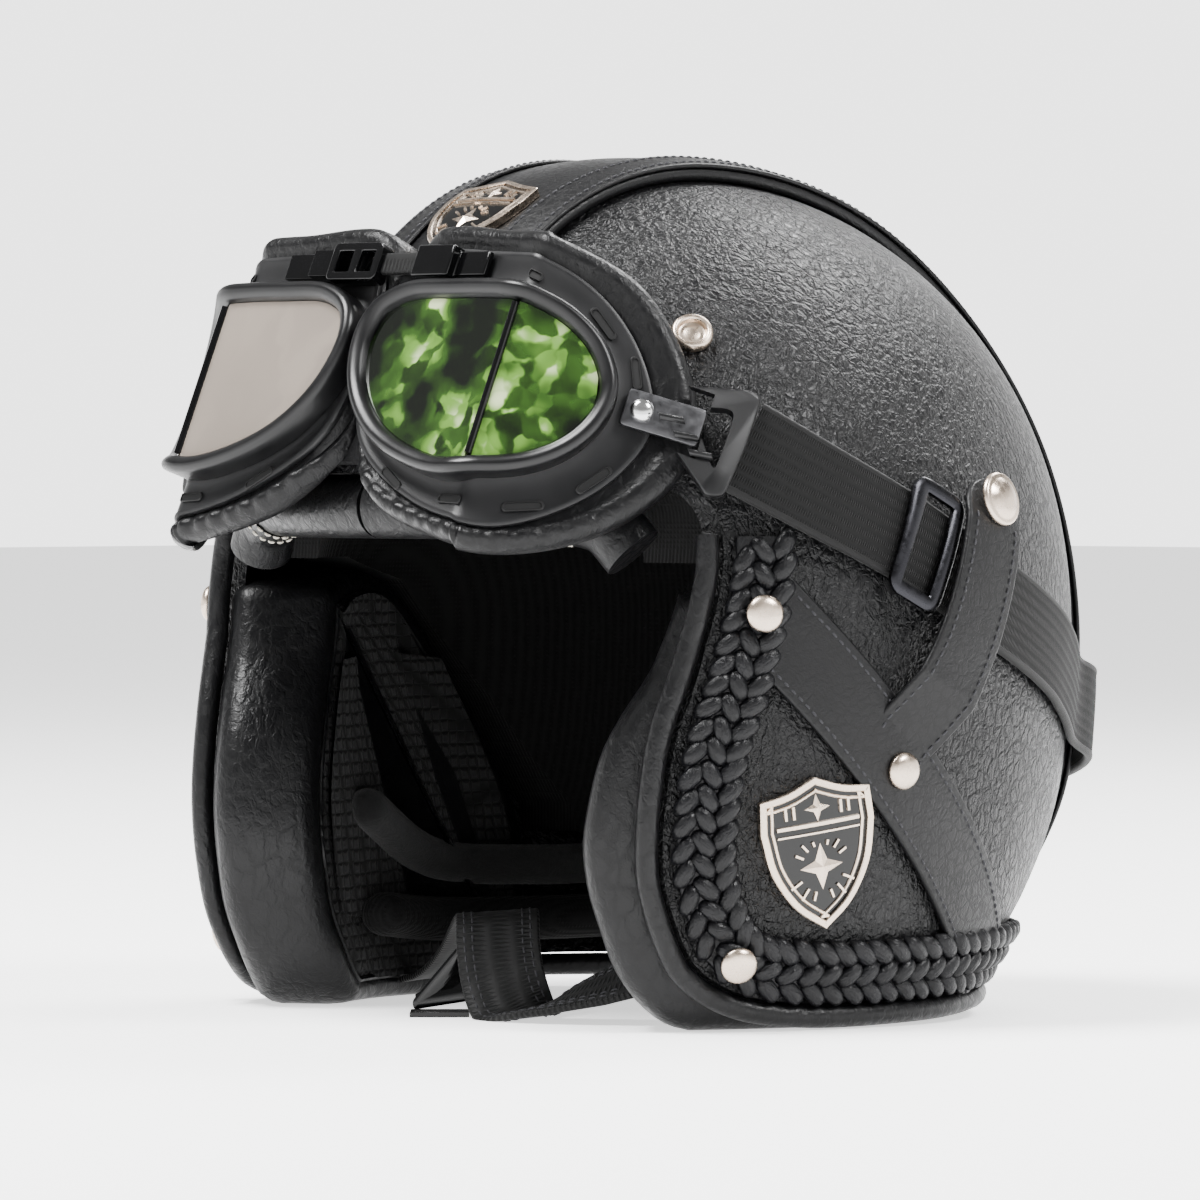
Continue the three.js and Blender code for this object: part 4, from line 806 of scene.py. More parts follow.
CROWN_SHARES = (0.0, 0.22, 0.38, 0.50, 0.62, 0.74, 0.86, 1.0)
CROWN_WIDTHS = (1.0, 1.0, 1.25, 1.5, 2.05, 2.35, 2.3, 1.9)
BAND_HALF_WIDTH = 30.0
BAND_LIFT = 0.9
BAND_THICKNESS = 3.0
CROWN_TABLE = smooth_table(CROWN_SHARES, CROWN_WIDTHS)


def crown_point(share, x):
    """Point of the face at a share of the way from brow to back rim, and a distance to its side."""
    share, x = np.broadcast_arrays(np.asarray(share, float), np.asarray(x, float))
    foot = math.asin((159.0 - WIDEST_HEIGHT) / (CROWN_HEIGHT - WIDEST_HEIGHT))
    zeros = np.zeros_like(share)
    climb = foot + (math.pi - foot) * np.minimum(share / 0.72, 1.0)
    ways = np.stack([zeros, -np.cos(climb), np.sin(climb)], axis=-1)
    over = cast_out(np.stack([x, zeros, zeros + WIDEST_HEIGHT], axis=-1), ways)
    drop = np.clip((share - 0.72) / 0.28, 0.0, 1.0)
    z = WIDEST_HEIGHT + (BACK_RIM + BRAID_WIDTH + 1 - WIDEST_HEIGHT) * drop
    down = cast_out(np.stack([x, zeros, z], axis=-1), np.stack([zeros, zeros + 1.0, zeros], axis=-1))
    return np.where((share < 0.72)[..., None], over, down)


def crown_rings(corners_of, steps=150, start=0.012):
    rings = []
    for share in np.linspace(start, 1.0, steps + 1):
        half = BAND_HALF_WIDTH * float(np.interp(share, *CROWN_TABLE))
        corners = np.asarray(corners_of(half), float)
        feet = crown_point(share, corners[:, 0])
        rings.append(lifted(feet, corners[:, 1]))
    return np.array(rings)


def make_crown_band():
    top = BAND_LIFT + BAND_THICKNESS
    band = ring_piece("crown_band_leather",
                      crown_rings(lambda half: rounded_strip(2 * half, 0.3, top, 1.2, 26)))
    finish_piece(band, LOOKS["band"], "crown_band", slot="smooth_leather")
    low = top + 0.1

    def hem(half):
        return [(x + half - 6.4, lift) for x, lift in rounded_strip(12.4, low, low + 1.5, 0.7, 6)]

    for side, turn in (("left", lambda p: p), ("right", mirrored)):
        piece = ring_piece(f"crown_hem_{side}", turn(crown_rings(hem)))
        lines = []
        for inset in (2.4, 10.2):
            rows = crown_rings(lambda half, i=inset: [(half - i, low + 1.55), (half - i, low + 5.0)])
            lines.append(stitches(f"hem_stitch_{side}", turn(rows[:, 0]),
                                  turn(rows[:, 1]) - turn(rows[:, 0])))
        lines = joined(f"crown_stitches_{side}", lines)
        finish_piece(piece, LOOKS["band"], f"crown_trim_{side}", slot="smooth_leather")
        finish_piece(lines, LOOKS["thread"], slot="smooth_leather")


def stitches(name, route, out, spacing=None, length=2.1, radius=0.36):
    """A row of sewn stitches: one small rounded bar for each, a little sunk in."""
    spacing = spacing or bpy.context.scene.helmet_leather.stitch
    steps = np.append(0.0, np.cumsum(np.linalg.norm(np.diff(route, axis=0), axis=1)))
    count = max(int(steps[-1] / spacing), 1)
    where = (np.arange(count) + 0.5) * spacing
    centre = np.stack([np.interp(where, steps, route[:, k]) for k in range(3)], axis=1)
    ahead = np.stack([np.interp(where + 1.0, steps, route[:, k]) for k in range(3)], axis=1)
    back = np.stack([np.interp(where - 1.0, steps, route[:, k]) for k in range(3)], axis=1)
    along = unit(ahead - back)
    high = unit(np.stack([np.interp(where, steps, unit(out)[:, k]) for k in range(3)], axis=1))
    side = unit(np.cross(along, high))
    angles = np.arange(6) * math.pi / 3
    points, faces = [], []
    rows = ((-1.0, 0.25, -0.5), (-0.72, 0.85, 0.0), (0.0, 1.0, 0.25), (0.72, 0.85, 0.0), (1.0, 0.25, -0.5))
    for i in range(count):
        start = len(points)
        for place, girth, rise in rows:
            middle = centre[i] + along[i] * place * length / 2 + high[i] * radius * rise
            for angle in angles:
                points.append(middle + radius * girth * (math.cos(angle) * side[i] + math.sin(angle)
                                                         * high[i]))
        faces += ring_faces(len(rows), 6, False, True, start)
    piece = new_piece(name, points, faces)
    return smooth(face_out(piece), 50)


# Rim: braid, piping


def make_piping():
    route = settle(rim_route(-PIPING / 2 - 0.3, 260))
    out = out_of(route)
    _, across = frames_along(route, out)
    angles = np.arange(14) * 2 * math.pi / 14
    rings = np.array([route[i] + out[i] * 1.3 + PIPING / 2 * (np.cos(angles)[:, None] * across[i]
                      + np.sin(angles)[:, None] * out[i]) for i in range(len(route))])
    rings[:, :, 0] = np.maximum(rings[:, :, 0], 0.1)
    for side, turn in (("left", lambda p: p), ("right", mirrored)):
        finish_piece(ring_piece(f"rim_piping_{side}", turn(rings)), LOOKS["roll"], f"edge_piping_{side}",
                     slot="smooth_leather")


def lace_bump(length, width, height):
    """Rings of one strand's visible stretch: full in its middle and tucked under at both ends."""
    rings = []
    sides = 10
    for t in np.linspace(-1.0, 1.0, 9):
        full = (1 - abs(t)**2.6)**0.5 if abs(t) < 1 else 0.0
        girth = max(full, 0.12)
        row = []
        for k in range(sides):
            angle = 2 * math.pi * k / sides
            swell = 0.55 if math.sin(angle) > 0 else 0.5
            rise = math.sin(angle) * height * swell * girth - (1 - full) * 1.6
            row.append((t * length / 2, math.cos(angle) * width / 2 * girth, rise))
        rings.append(row)
    return np.array(rings)


def make_braid():
    spacing = bpy.context.scene.helmet_leather.strand
    route = settle(rim_route(BRAID_WIDTH / 2 + 0.5, 420))
    out = out_of(route)
    along, across = frames_along(route, out)
    steps = np.append(0.0, np.cumsum(np.linalg.norm(np.diff(route, axis=0), axis=1)))
    columns = ((-5.5, 36.0, 11.4, 5.5, 3.6, 0.0), (0.4, -38.0, 10.2, 5.4, 4.4, 0.35),
               (5.8, 36.0, 10.2, 5.2, 3.5, 0.62))
    points, uvs, faces = [], [], []
    for place, tilt, length, width, height, phase in columns:
        lace = lace_bump(length, width, height)
        for n in range(int(steps[-1] / spacing)):
            where = (n + phase + 0.3) * spacing
            i = min(int(np.searchsorted(steps, where)), len(route) - 1)
            turn = math.radians(tilt + 2.5 * math.sin(n * 2.1 + phase * 9))
            local = lace.reshape(-1, 3)
            u = local[:, 0] * math.cos(turn) - local[:, 1] * math.sin(turn)
            v = local[:, 0] * math.sin(turn) + local[:, 1] * math.cos(turn) + place
            foot = settle(route[i] + along[i] * u[:, None] + across[i] * v[:, None])
            world = foot + out[i] * (local[:, 2] + 3.0)[:, None]
            world[:, 0] = np.maximum(world[:, 0], 0.1)
            start = len(points)
            points += list(world)
            uvs += [((x + n * 13.0) * 0.001, (y + n * 7.0) * 0.001) for x, y, _ in local]
            faces += ring_faces(lace.shape[0], lace.shape[1], False, True, start)
    base = strip_rings(route[::3], lambda share: rounded_strip(BRAID_WIDTH - 1.5, 0.3, 2.6, 1.0, 4))
    base[:, :, 0] = np.maximum(base[:, :, 0], 0.1)
    points, uvs = np.array(points), np.array(uvs)
    for side, turn in (("left", lambda p: p), ("right", mirrored)):
        laces = new_piece(f"rim_braid_{side}", turn(points), faces, uvs)
        laces = smooth(face_out_keep(laces), 60)
        ground = ring_piece(f"rim_braid_ground_{side}", turn(base))
        finish_piece(joined(f"rim_braid_{side}", [laces, ground]), LOOKS["braid"], f"edge_braid_{side}",
                     slot="braided_leather")


def face_out_keep(piece):
    """Turns the faces outwards and leaves every point where it is."""
    only(piece)
    bpy.ops.object.mode_set(mode="EDIT")
    bpy.ops.mesh.select_all(action="SELECT")
    bpy.ops.mesh.normals_make_consistent(inside=False)
    bpy.ops.object.mode_set(mode="OBJECT")
    return piece


# Side band, rivets, keeper

BAND_ROUTE = ((-56.9, 118.8), (-22.9, 79.9), (7.1, 47.5), (34.8, 14.0))
KEEPER_ROUTE = ((19.0, 151.2), (16.6, 142.6), (10.3, 126.4), (1.6, 108.0), (-8.7, 90.7), (-19.0, 76.0))
SIDE_BAND_THICKNESS = 2.2


def side_route(places, count):
    spots = side_point([p[0] for p in places], [p[1] for p in places])
    return smooth_route(spots, count)


def edge_stitches(name, route, lift, across_by):
    route = settle(route)
    out = out_of(route)
    _, across = frames_along(route, out)
    foot = settle(route + across * across_by)
    return stitches(name, foot + out * np.asarray(lift).reshape(-1, 1), out)


def both_sides(name, rings, look, node, slot, looped=False, angle=35.0):
    for side, turn in (("left", lambda p: p), ("right", mirrored)):
        piece = ring_piece(f"{name}_{side}", turn(rings), looped, angle)
        finish_piece(piece, LOOKS[look], f"{node}_{side}", slot=slot)


def mirror_copy(piece, name):
    copy = piece.copy()
    copy.data = piece.data.copy()
    copy.name = name
    copy.data.name = name
    bpy.context.scene.collection.objects.link(copy)
    places = np.empty(len(copy.data.vertices) * 3)
    copy.data.vertices.foreach_get("co", places)
    places = places.reshape(-1, 3) * np.array([-1.0, 1.0, 1.0])
    copy.data.vertices.foreach_set("co", places.ravel())
    copy.data.flip_normals()
    copy.data.update()
    return copy


def make_side_band():
    route = side_route(BAND_ROUTE, 70)
    rings = strip_rings(route, lambda share: rounded_strip(25.0, 0.3, 0.6 + SIDE_BAND_THICKNESS, 0.9, 8))
    both_sides("side_band_leather", rings, "band", "side_band", "smooth_leather")
    lines = joined("side_stitches_left", [edge_stitches("side_stitch", route, 0.6 + SIDE_BAND_THICKNESS, a)
                                          for a in (-9.9, 9.9)])
    for piece in (lines, mirror_copy(lines, "side_stitches_right")):
        finish_piece(piece, LOOKS["thread"], slot="smooth_leather")


def turned_rings(foot, lift, profile, sides=40):
    """Rings of a turned piece that stands on the shell: its profile lists radius and height."""
    foot = np.asarray(foot, float)
    out = out_of(foot)
    side = unit(np.cross(out, np.array([0.0, 0.0, 1.0])))
    other = np.cross(out, side)
    angles = np.arange(sides) * 2 * math.pi / sides
    return np.array([foot + out * (lift + h) + max(r, 0.02) * (np.cos(angles)[:, None] * side
                     + np.sin(angles)[:, None] * other) for r, h in profile])


def dome(radius, height):
    return [(0, 0), (radius * 0.97, 0), (radius, height * 0.12), (radius, height * 0.28),
            (radius * 0.96, height * 0.42),
            (radius * 0.87, height * 0.62), (radius * 0.72, height * 0.79), (radius * 0.5, height * 0.92),
            (radius * 0.25, height * 0.985), (0, height)]


def make_rivets():
    radius = bpy.context.scene.helmet_trim.rivet / 2
    places = ((-56.1, 116.1, 6.6), (-15.8, 72.4, 2.9), (-58.9, 21.1, 6.6))
    for n, (y, z, lift) in enumerate(places, 1):
        both_sides(f"rivet_{n}", turned_rings(side_point(y, z), lift, dome(radius, 3.0)), "nickel",
                   f"band_rivet_{n}", "nickel", angle=60)
    cap = [(0, 0), (7.6, 0), (7.75, 0.5), (7.5, 1.3), (6.9, 1.7), (6.3, 1.6), (5.8, 1.9), (4.4, 2.8),
           (2.4, 3.3),
           (0, 3.45)]
    both_sides("keeper_cap", turned_rings(side_point(17.4, 145.3), keeper_lift(0.16) + 2.3, cap), "nickel",
               "keeper_snap", "nickel", angle=60)
    ring = [(0, 0), (5.9, 0), (6.0, 0.6), (5.9, 1.8), (5.5, 2.6), (4.9, 2.9), (4.3, 2.7), (3.9, 2.0),
            (3.7, 1.0),
            (3.0, 0.8), (2.2, 1.0), (1.2, 1.2), (0, 1.25)]
    both_sides("brow_snap", turned_rings(side_point(-53.7, 193.3), 0.2, ring), "nickel", "visor_snap",
               "black_nickel", angle=60)


KEEPER_RISE = 7.2


def keeper_lift(share):
    return 0.6 + KEEPER_RISE * float(np.interp(share, (0.0, 0.16, 0.72, 0.9), (0.55, 1.0, 1.0, 0.0)))


def make_keeper():
    route = side_route(KEEPER_ROUTE, 80)
    route = np.concatenate([route, settle(route[-1:] + (route[-1:] - route[-2:-1]) * 4)])

    def width(share):
        end = min(share / 0.13, 1.0)
        return 22.0 * max(math.sqrt(1 - (1 - end)**2), 0.08)

    def section(share):
        low = keeper_lift(share)
        return rounded_strip(width(share), low, low + 2.2, 0.8, 6)

    both_sides("keeper_leather", strip_rings(route, section), "band", "keeper_strap", "smooth_leather")
    inner = route[11:-3]
    lifts = np.array([keeper_lift(i / (len(route) - 1)) + 2.25 for i in range(11, len(route) - 3)])
    lines = joined("keeper_stitches_left",
                   [edge_stitches("keeper_stitch", inner, lifts, a) for a in (-8.6, 8.6)])
    for piece in (lines, mirror_copy(lines, "keeper_stitches_right")):
        finish_piece(piece, LOOKS["thread"], slot="smooth_leather")


# Goggle strap

STRAP_PLACES = ((60.5, 1.475, 9.0), (72, 1.37, 4.4), (84, 1.265, 0.8), (96, 1.14, 0.7), (118, 0.96, 0.7),
                (134, 0.83, 0.7), (142, 0.79, 6.4), (162, 0.71, 6.4), (180, 0.68, 6.4))
SLIDER_TURN = 86.0


def make_goggle_strap():
    half = smooth_route([(a, b * 100, c) for a, b, c in STRAP_PLACES], 120)
    table = np.concatenate([half, (half[:-1] * [-1, 1, 1] + [360, 0, 0])[::-1]])
    route = ring_point(table[:, 0], table[:, 1] / 100 * WIDEST_HEIGHT)
    count = len(route)

    def body(share):
        low = max(float(np.interp(share * (count - 1), np.arange(count), table[:, 2])), 0.4)
        return rounded_strip(25.0, low, low + 2.3, 0.9, 8)

    def binding(share, place):
        low = max(float(np.interp(share * (count - 1), np.arange(count), table[:, 2])), 0.4)
        return [(x + place, lift) for x, lift in rounded_strip(2.4, low - 0.1, low + 2.5, 1.1, 2)]

    strap = ring_piece("goggle_elastic", strip_rings(route, body))
    finish_piece(strap, LOOKS["elastic"], "goggle_strap", slot="elastic")
    edges = [ring_piece("elastic_edge", strip_rings(route, lambda s,
                                                    p=place: binding(s, p))) for place in (-12.0, 12.0)]
    finish_piece(joined("elastic_edges", edges), LOOKS["edge"], slot="elastic")


def on_strap(along, across, lift, turn=SLIDER_TURN):
    """A place on the strap, by millimetres along and across it from a turn."""
    turns = [row[0] for row in STRAP_PLACES]
    heights = [row[1] * WIDEST_HEIGHT for row in STRAP_PLACES]
    base_turn = turn + np.degrees(np.asarray(along, float) / HALF_WIDTH)
    foot = ring_point(base_turn, np.interp(base_turn, turns, heights))
    ahead = ring_point(base_turn + 0.5, np.interp(base_turn + 0.5, turns, heights))
    way = unit(ahead - foot)
    side = unit(np.cross(way, out_of(foot)))
    return lifted(settle(foot + side * np.asarray(across, float)[..., None]), lift)


def rounded_rectangle(half_a, half_b, radius, per_corner=6):
    points = []
    for ca, cb, start in ((half_a, half_b, 0), (-half_a, half_b, 90), (-half_a, -half_b, 180),
                          (half_a, -half_b, 270)):
        middle = (ca - math.copysign(radius, ca), cb - math.copysign(radius, cb))
        for k in range(per_corner + 1):
            angle = math.radians(start + 90 * k / per_corner)
            points.append((middle[0] + radius * math.cos(angle), middle[1] + radius * math.sin(angle)))
    return np.array(points)


def make_slider():
    path = rounded_rectangle(8.5 - 2.1, 17.5 - 2.1, 2.2)
    dense = smooth_closed(path, 96)
    normal = np.stack([np.gradient(np.append(dense, dense[:1], 0), axis=0)[:-1, 1],
                       -np.gradient(np.append(dense, dense[:1], 0), axis=0)[:-1, 0]], axis=1)
    normal = unit(normal)
    section = [(1.0, 0.0), (0.92, 0.55), (0.6, 0.92), (0, 1.0), (-0.6, 0.92), (-0.92, 0.55), (-1.0, 0.0),
               (-0.92, -0.55), (-0.6, -0.92), (0, -1.0), (0.6, -0.92), (0.92, -0.55)]
    rings = []
    for p, n in zip(dense, normal):
        places = np.array([(p[0] + n[0] * a * 2.1, p[1] + n[1] * a * 2.1, 5.7 + b * 1.3) for a, b in section])
        rings.append(on_strap(places[:, 0], places[:, 1], places[:, 2]))
    rings = np.array(rings)
    for side, turn in (("left", lambda p: p), ("right", mirrored)):
        finish_piece(ring_piece(f"slider_{side}", turn(rings), looped=True), LOOKS["slider"],
                     f"strap_slider_{side}", slot="gunmetal")


def smooth_closed(points, count):
    closed = np.append(points, points[:1], axis=0)
    lengths = np.append(0.0, np.cumsum(np.linalg.norm(np.diff(closed, axis=0), axis=1)))
    wanted = np.linspace(0.0, lengths[-1], count, endpoint=False)
    return np.stack([np.interp(wanted, lengths, closed[:, k]) for k in range(points.shape[1])], axis=1)


# Goggles: one frame of their own, along the fold, up and in depth

GOGGLE_HEIGHT = 183.0
GOGGLE_REACH = 116.0
PITCH = math.radians(24)
PANE_TURN = math.radians(45)
FOLD_REACH = 60.5
FOLD_RADIUS = 14.0


def goggle_point(a, up, depth):
    a, up, depth = np.broadcast_arrays(*(np.asarray(v, float) for v in (a, up, depth)))
    arc = FOLD_RADIUS * PANE_TURN
    turn = PANE_TURN * np.clip((a - FOLD_REACH + arc / 2) / arc, 0.0, 1.0)
    start = np.minimum(a, FOLD_REACH - arc / 2)
    past = np.maximum(a - FOLD_REACH - arc / 2, 0.0)
    x = start + FOLD_RADIUS * np.sin(turn) + past * math.cos(PANE_TURN) - depth * np.sin(turn)
    back = FOLD_RADIUS * (1 - np.cos(turn)) + past * math.sin(PANE_TURN) + depth * np.cos(turn)
    y = -GOGGLE_REACH + back * math.cos(PITCH) + up * math.sin(PITCH)
    z = GOGGLE_HEIGHT - back * math.sin(PITCH) + up * math.cos(PITCH)
    return np.stack([x, y, z], axis=-1)


def goggle_rise(a, up):
    """Distance back from the frame's face to the shell, along the frame's depth."""
    a, up = np.broadcast_arrays(np.asarray(a, float), np.asarray(up, float))
    origin = goggle_point(a, up, 0.0)
    way = unit(goggle_point(a, up, 1.0) - origin)
    low, high = np.full(a.shape, -5.0), np.full(a.shape, 90.0)
    for _ in range(40):
        middle = (low + high) / 2
        inside = shell_level(origin + way * middle[..., None], 0.0) < 0
        high = np.where(inside, middle, high)
        low = np.where(inside, low, middle)
    return (low + high) / 2


RIM_SHARES = ((-1, 0.43), (-0.92, 0.77), (-0.69, 0.97), (-0.28, 1), (0.13, 0.99), (0.4, 0.96), (0.64, 0.86),
              (0.86, 0.63), (1, 0.26), (0.99, -0.1), (0.86, -0.48), (0.6, -0.8), (0.14, -1), (-0.25, -0.9),
              (-0.66, -0.58), (-0.92, -0.1))
PLATE_SHARES = ((-1, 0.48), (-0.88, 0.96), (-0.24, 1), (0.4, 0.9), (0.74, 0.63), (0.96, 0.23), (1, -0.06),
                (0.84, -0.5), (0.5, -0.88), (0.22, -1), (-0.37, -0.84), (-0.92, -0.34))
PAD_SHARES = ((-1, 0.4), (-0.9, 1), (-0.3, 1.02), (0.16, 0.98), (0.57, 0.84), (0.88, 0.47), (0.99, 0.18),
              (1, -0.18), (0.8, -0.57), (0.48, -0.85), (0.12, -0.98), (-0.3, -0.9), (-0.72, -0.7), (-1, -0.3))
RIM_CENTRE = 48.5
RINGS = 160


def loop_outline(shares, centre, half_a, half_up, count=RINGS):
    route = smooth_route([(centre + a * half_a, up * half_up, 0.0) for a, up in shares], count, closed=True)
    return route[:count, :2] if len(route) >= count else route[:, :2]


def by_angle(outline, centre, count=RINGS):
    """The outline's places at even turns about a centre, so that two outlines pair up."""
    angle = np.arctan2(outline[:, 1], outline[:, 0] - centre)
    order = np.argsort(angle)
    angle = angle[order]
    spot = outline[order]
    wanted = -math.pi + (np.arange(count) + 0.5) * 2 * math.pi / count
    long = np.concatenate([angle - 2 * math.pi, angle, angle + 2 * math.pi])
    return np.stack([np.interp(wanted, long, np.tile(spot[:, k], 3)) for k in range(2)], axis=1)


def inward(outline):
    along = np.roll(outline, -1, axis=0) - np.roll(outline, 1, axis=0)
    along = along / np.linalg.norm(along, axis=1, keepdims=True)
    normal = np.stack([-along[:, 1], along[:, 0]], axis=1)
    middle = outline.mean(axis=0)
    if np.sum((middle - outline) * normal) < 0:
        normal = -normal
    return normal


def goggle_ring(outline, profile, least=0.4):
    """Rings round an outline; the profile lists how far inward and how deep."""
    normal = inward(outline)
    rings = []
    for p, n in zip(outline, normal):
        places = np.array([(p[0] + n[0] * i, p[1] + n[1] * i, d) for i, d in profile])
        row = goggle_point(np.maximum(places[:, 0], least), places[:, 1], places[:, 2])
        rings.append(row)
    rings = np.array(rings)
    rings[:, :, 0] = np.maximum(rings[:, :, 0], least)
    return rings


def make_rims():
    outline = by_angle(loop_outline(RIM_SHARES, RIM_CENTRE, 47.5, 29.5), RIM_CENTRE)
    profile = [(0, 8), (-0.1, 5), (0, 2.2), (0.25, 1.2), (0.8, 0.5), (1.6, 0.05), (2.2, 0.0), (3.0, 0.2),
               (3.8, 0.7),
               (4.5, 1.3), (4.9, 2.0), (5.1, 2.9), (5.3, 4.0), (5.5, 6), (5.5, 8)]
    both_sides("lens_rim", goggle_ring(outline, profile), "rim", "goggle_rim", "black_plastic", looped=True)


def make_plates():
    outer = by_angle(loop_outline(PLATE_SHARES, 55.0, 53.0, 41.0), 50.0)
    rim = by_angle(loop_outline(RIM_SHARES, RIM_CENTRE, 47.5, 29.5), 50.0)
    inner = rim + inward(rim) * 5.0
    rings = []
    for i in range(RINGS):
        o, r = outer[i], inner[i]
        way = (o - r) / max(np.linalg.norm(o - r), 0.01)
        places = [(r, 10.3), (r, 8.3), (rim[i] + way * 0.3, 8.3), (rim[i] + way * 1.0, 8.6),
                  (o - way * 2.4, 8.6),
                  (o - way * 1.8, 8.3), (o - way * 0.9, 8.3), (o - way * 0.25, 8.6), (o, 9.2),
                  (o - way * 0.2, 10.3)]
        if np.linalg.norm(o - rim[i]) < 4:
            places = [(r, 10.3), (r, 8.3)] + [(r + (o - r) * t, 8.3) for t in (0.3, 0.4, 0.6, 0.7, 0.8, 0.9)]
            places += [(o, 8.9), (o, 10.3)]
        rings.append([(max(p[0], 0.8), p[1], d) for p, d in places])
    rings = np.array(rings)
    world = goggle_point(rings[..., 0], rings[..., 1], rings[..., 2])
    both_sides("side_plate", world, "plate", "goggle_plate", "black_plastic", angle=40, looped=True)
    slots = []
    places = ((86.5, 25.5, -38, 10), (99.3, 14.5, -68, 9), (97.0, -18.5, 52, 11), (80.5, -31.5, 20, 11),
              (54.0, -34.5, -2, 11), (27.0, -28.5, -32, 10), (62.0, 33.5, -6, 9))
    for n, (a, up, turn, length) in enumerate(places):
        angle = math.radians(turn)
        path = rounded_rectangle(length / 2, 1.1, 1.05)
        rings = []
        for depth, grow in ((8.2, 1.25), (7.9, 1.1), (7.9, 0.92), (9.2, 0.7)):
            u = path[:, 0] * (1 if grow > 1 else 0.97) * (1 + (grow - 1) * 0.35)
            v = path[:, 1] * grow
            rings.append(goggle_point(a + u * math.cos(angle) - v * math.sin(angle),
                                      up + u * math.sin(angle) + v * math.cos(angle), depth))
        slots.append(ring_piece(f"slot_{n}", np.array(rings)))
    # The slot pockets take the nearly black painted-shade plastic.
    left = joined("vent_slots_left", slots)
    for piece in (left, mirror_copy(left, "vent_slots_right")):
        finish_piece(piece, LOOKS["slot"], slot="black_plastic")


def seated_depth(spot, free):
    """Depth of the surround's back: on the shell above the brow, and free-standing below it."""
    wall = goggle_rise(spot[:, 0], spot[:, 1])
    meets = goggle_point(spot[:, 0], spot[:, 1], wall)[:, 2]
    below = np.clip((168.0 - meets) / 24.0, 0.0, 1.0)
    below = below * below * (3 - 2 * below)
    seat = np.maximum(wall + 1.5, free)
    return seat * (1 - below) + np.minimum(seat, free) * below


def make_pads():
    """Padded leather surround behind the plates, gathered in small pleats along its lower edge."""
    outer = by_angle(loop_outline(PAD_SHARES, 60.5, 59.0, 48.0, 240), 52.0, 240)
    rim = by_angle(loop_outline(RIM_SHARES, RIM_CENTRE, 47.5, 29.5, 240), 52.0, 240)
    inner = rim + inward(rim) * 5.0
    plate = by_angle(loop_outline(PLATE_SHARES, 55.0, 53.0, 41.0, 240), 52.0, 240)
    start = inner + (plate - inner) * 0.35
    turn = -math.pi + (np.arange(240) + 0.5) * 2 * math.pi / 240
    low = np.clip(-np.sin(turn) * 1.5 - 0.25, 0.0, 1.0)
    pleat = (np.sin(turn * 46) * 0.55 + np.sin(turn * 23 + 1.0) * 0.25) * low
    sink = 4.5 * np.clip(1 - (outer[:, 0] - 0.8) / 11.9, 0.0, 1.0)
    rows = [(0.0, 10.4 + 0 * sink), (0.62, 10.5 + 0 * sink), (0.66, 9.6 + sink + pleat * 0.3),
            (0.74, 8.6 + sink + pleat * 0.7), (0.84, 8.7 + sink + pleat), (0.92, 9.6 + sink + pleat * 0.9),
            (0.98, 11.4 + sink + pleat * 0.5), (1.0, 13.4 + sink), (0.985, 16.0), (0.93, 17.0), (0.8, 17.4),
            (0.3, 16.6)]
    rings = []
    for row, (share, depth) in enumerate(rows):
        spot = start + (outer - start) * share
        spot = np.stack([np.maximum(spot[:, 0], 0.8 + (1 - share) * 4.0), spot[:, 1]], axis=1)
        if row > 7:
            depth = seated_depth(spot, depth)
        rings.append(np.stack([spot[:, 0], spot[:, 1], depth + 0 * sink], axis=1))
    rings = np.array(rings).transpose(1, 0, 2)
    world = goggle_point(rings[..., 0], rings[..., 1], rings[..., 2])
    world[..., 0] = np.maximum(world[..., 0], 0.3)
    for side, turned in (("left", lambda p: p), ("right", mirrored)):
        piece = ring_piece(f"goggle_surround_{side}", turned(world), looped=True, angle=70)
        modified(piece, "SUBSURF", levels=1, render_levels=1)
        finish_piece(piece, LOOKS["roll"], f"goggle_pad_{side}", slot="smooth_leather")


def lens_half(columns, low_of, high_of, front, back, rows=10):
    rings = []
    for a in columns:
        low, high = low_of(a), high_of(a)
        ups = np.linspace(low, high, rows)
        loop = [(a, up, front) for up in ups] + [(a, up, back) for up in ups[::-1]]
        rings.append(loop)
    rings = np.array(rings)
    return goggle_point(rings[..., 0], rings[..., 1], rings[..., 2])


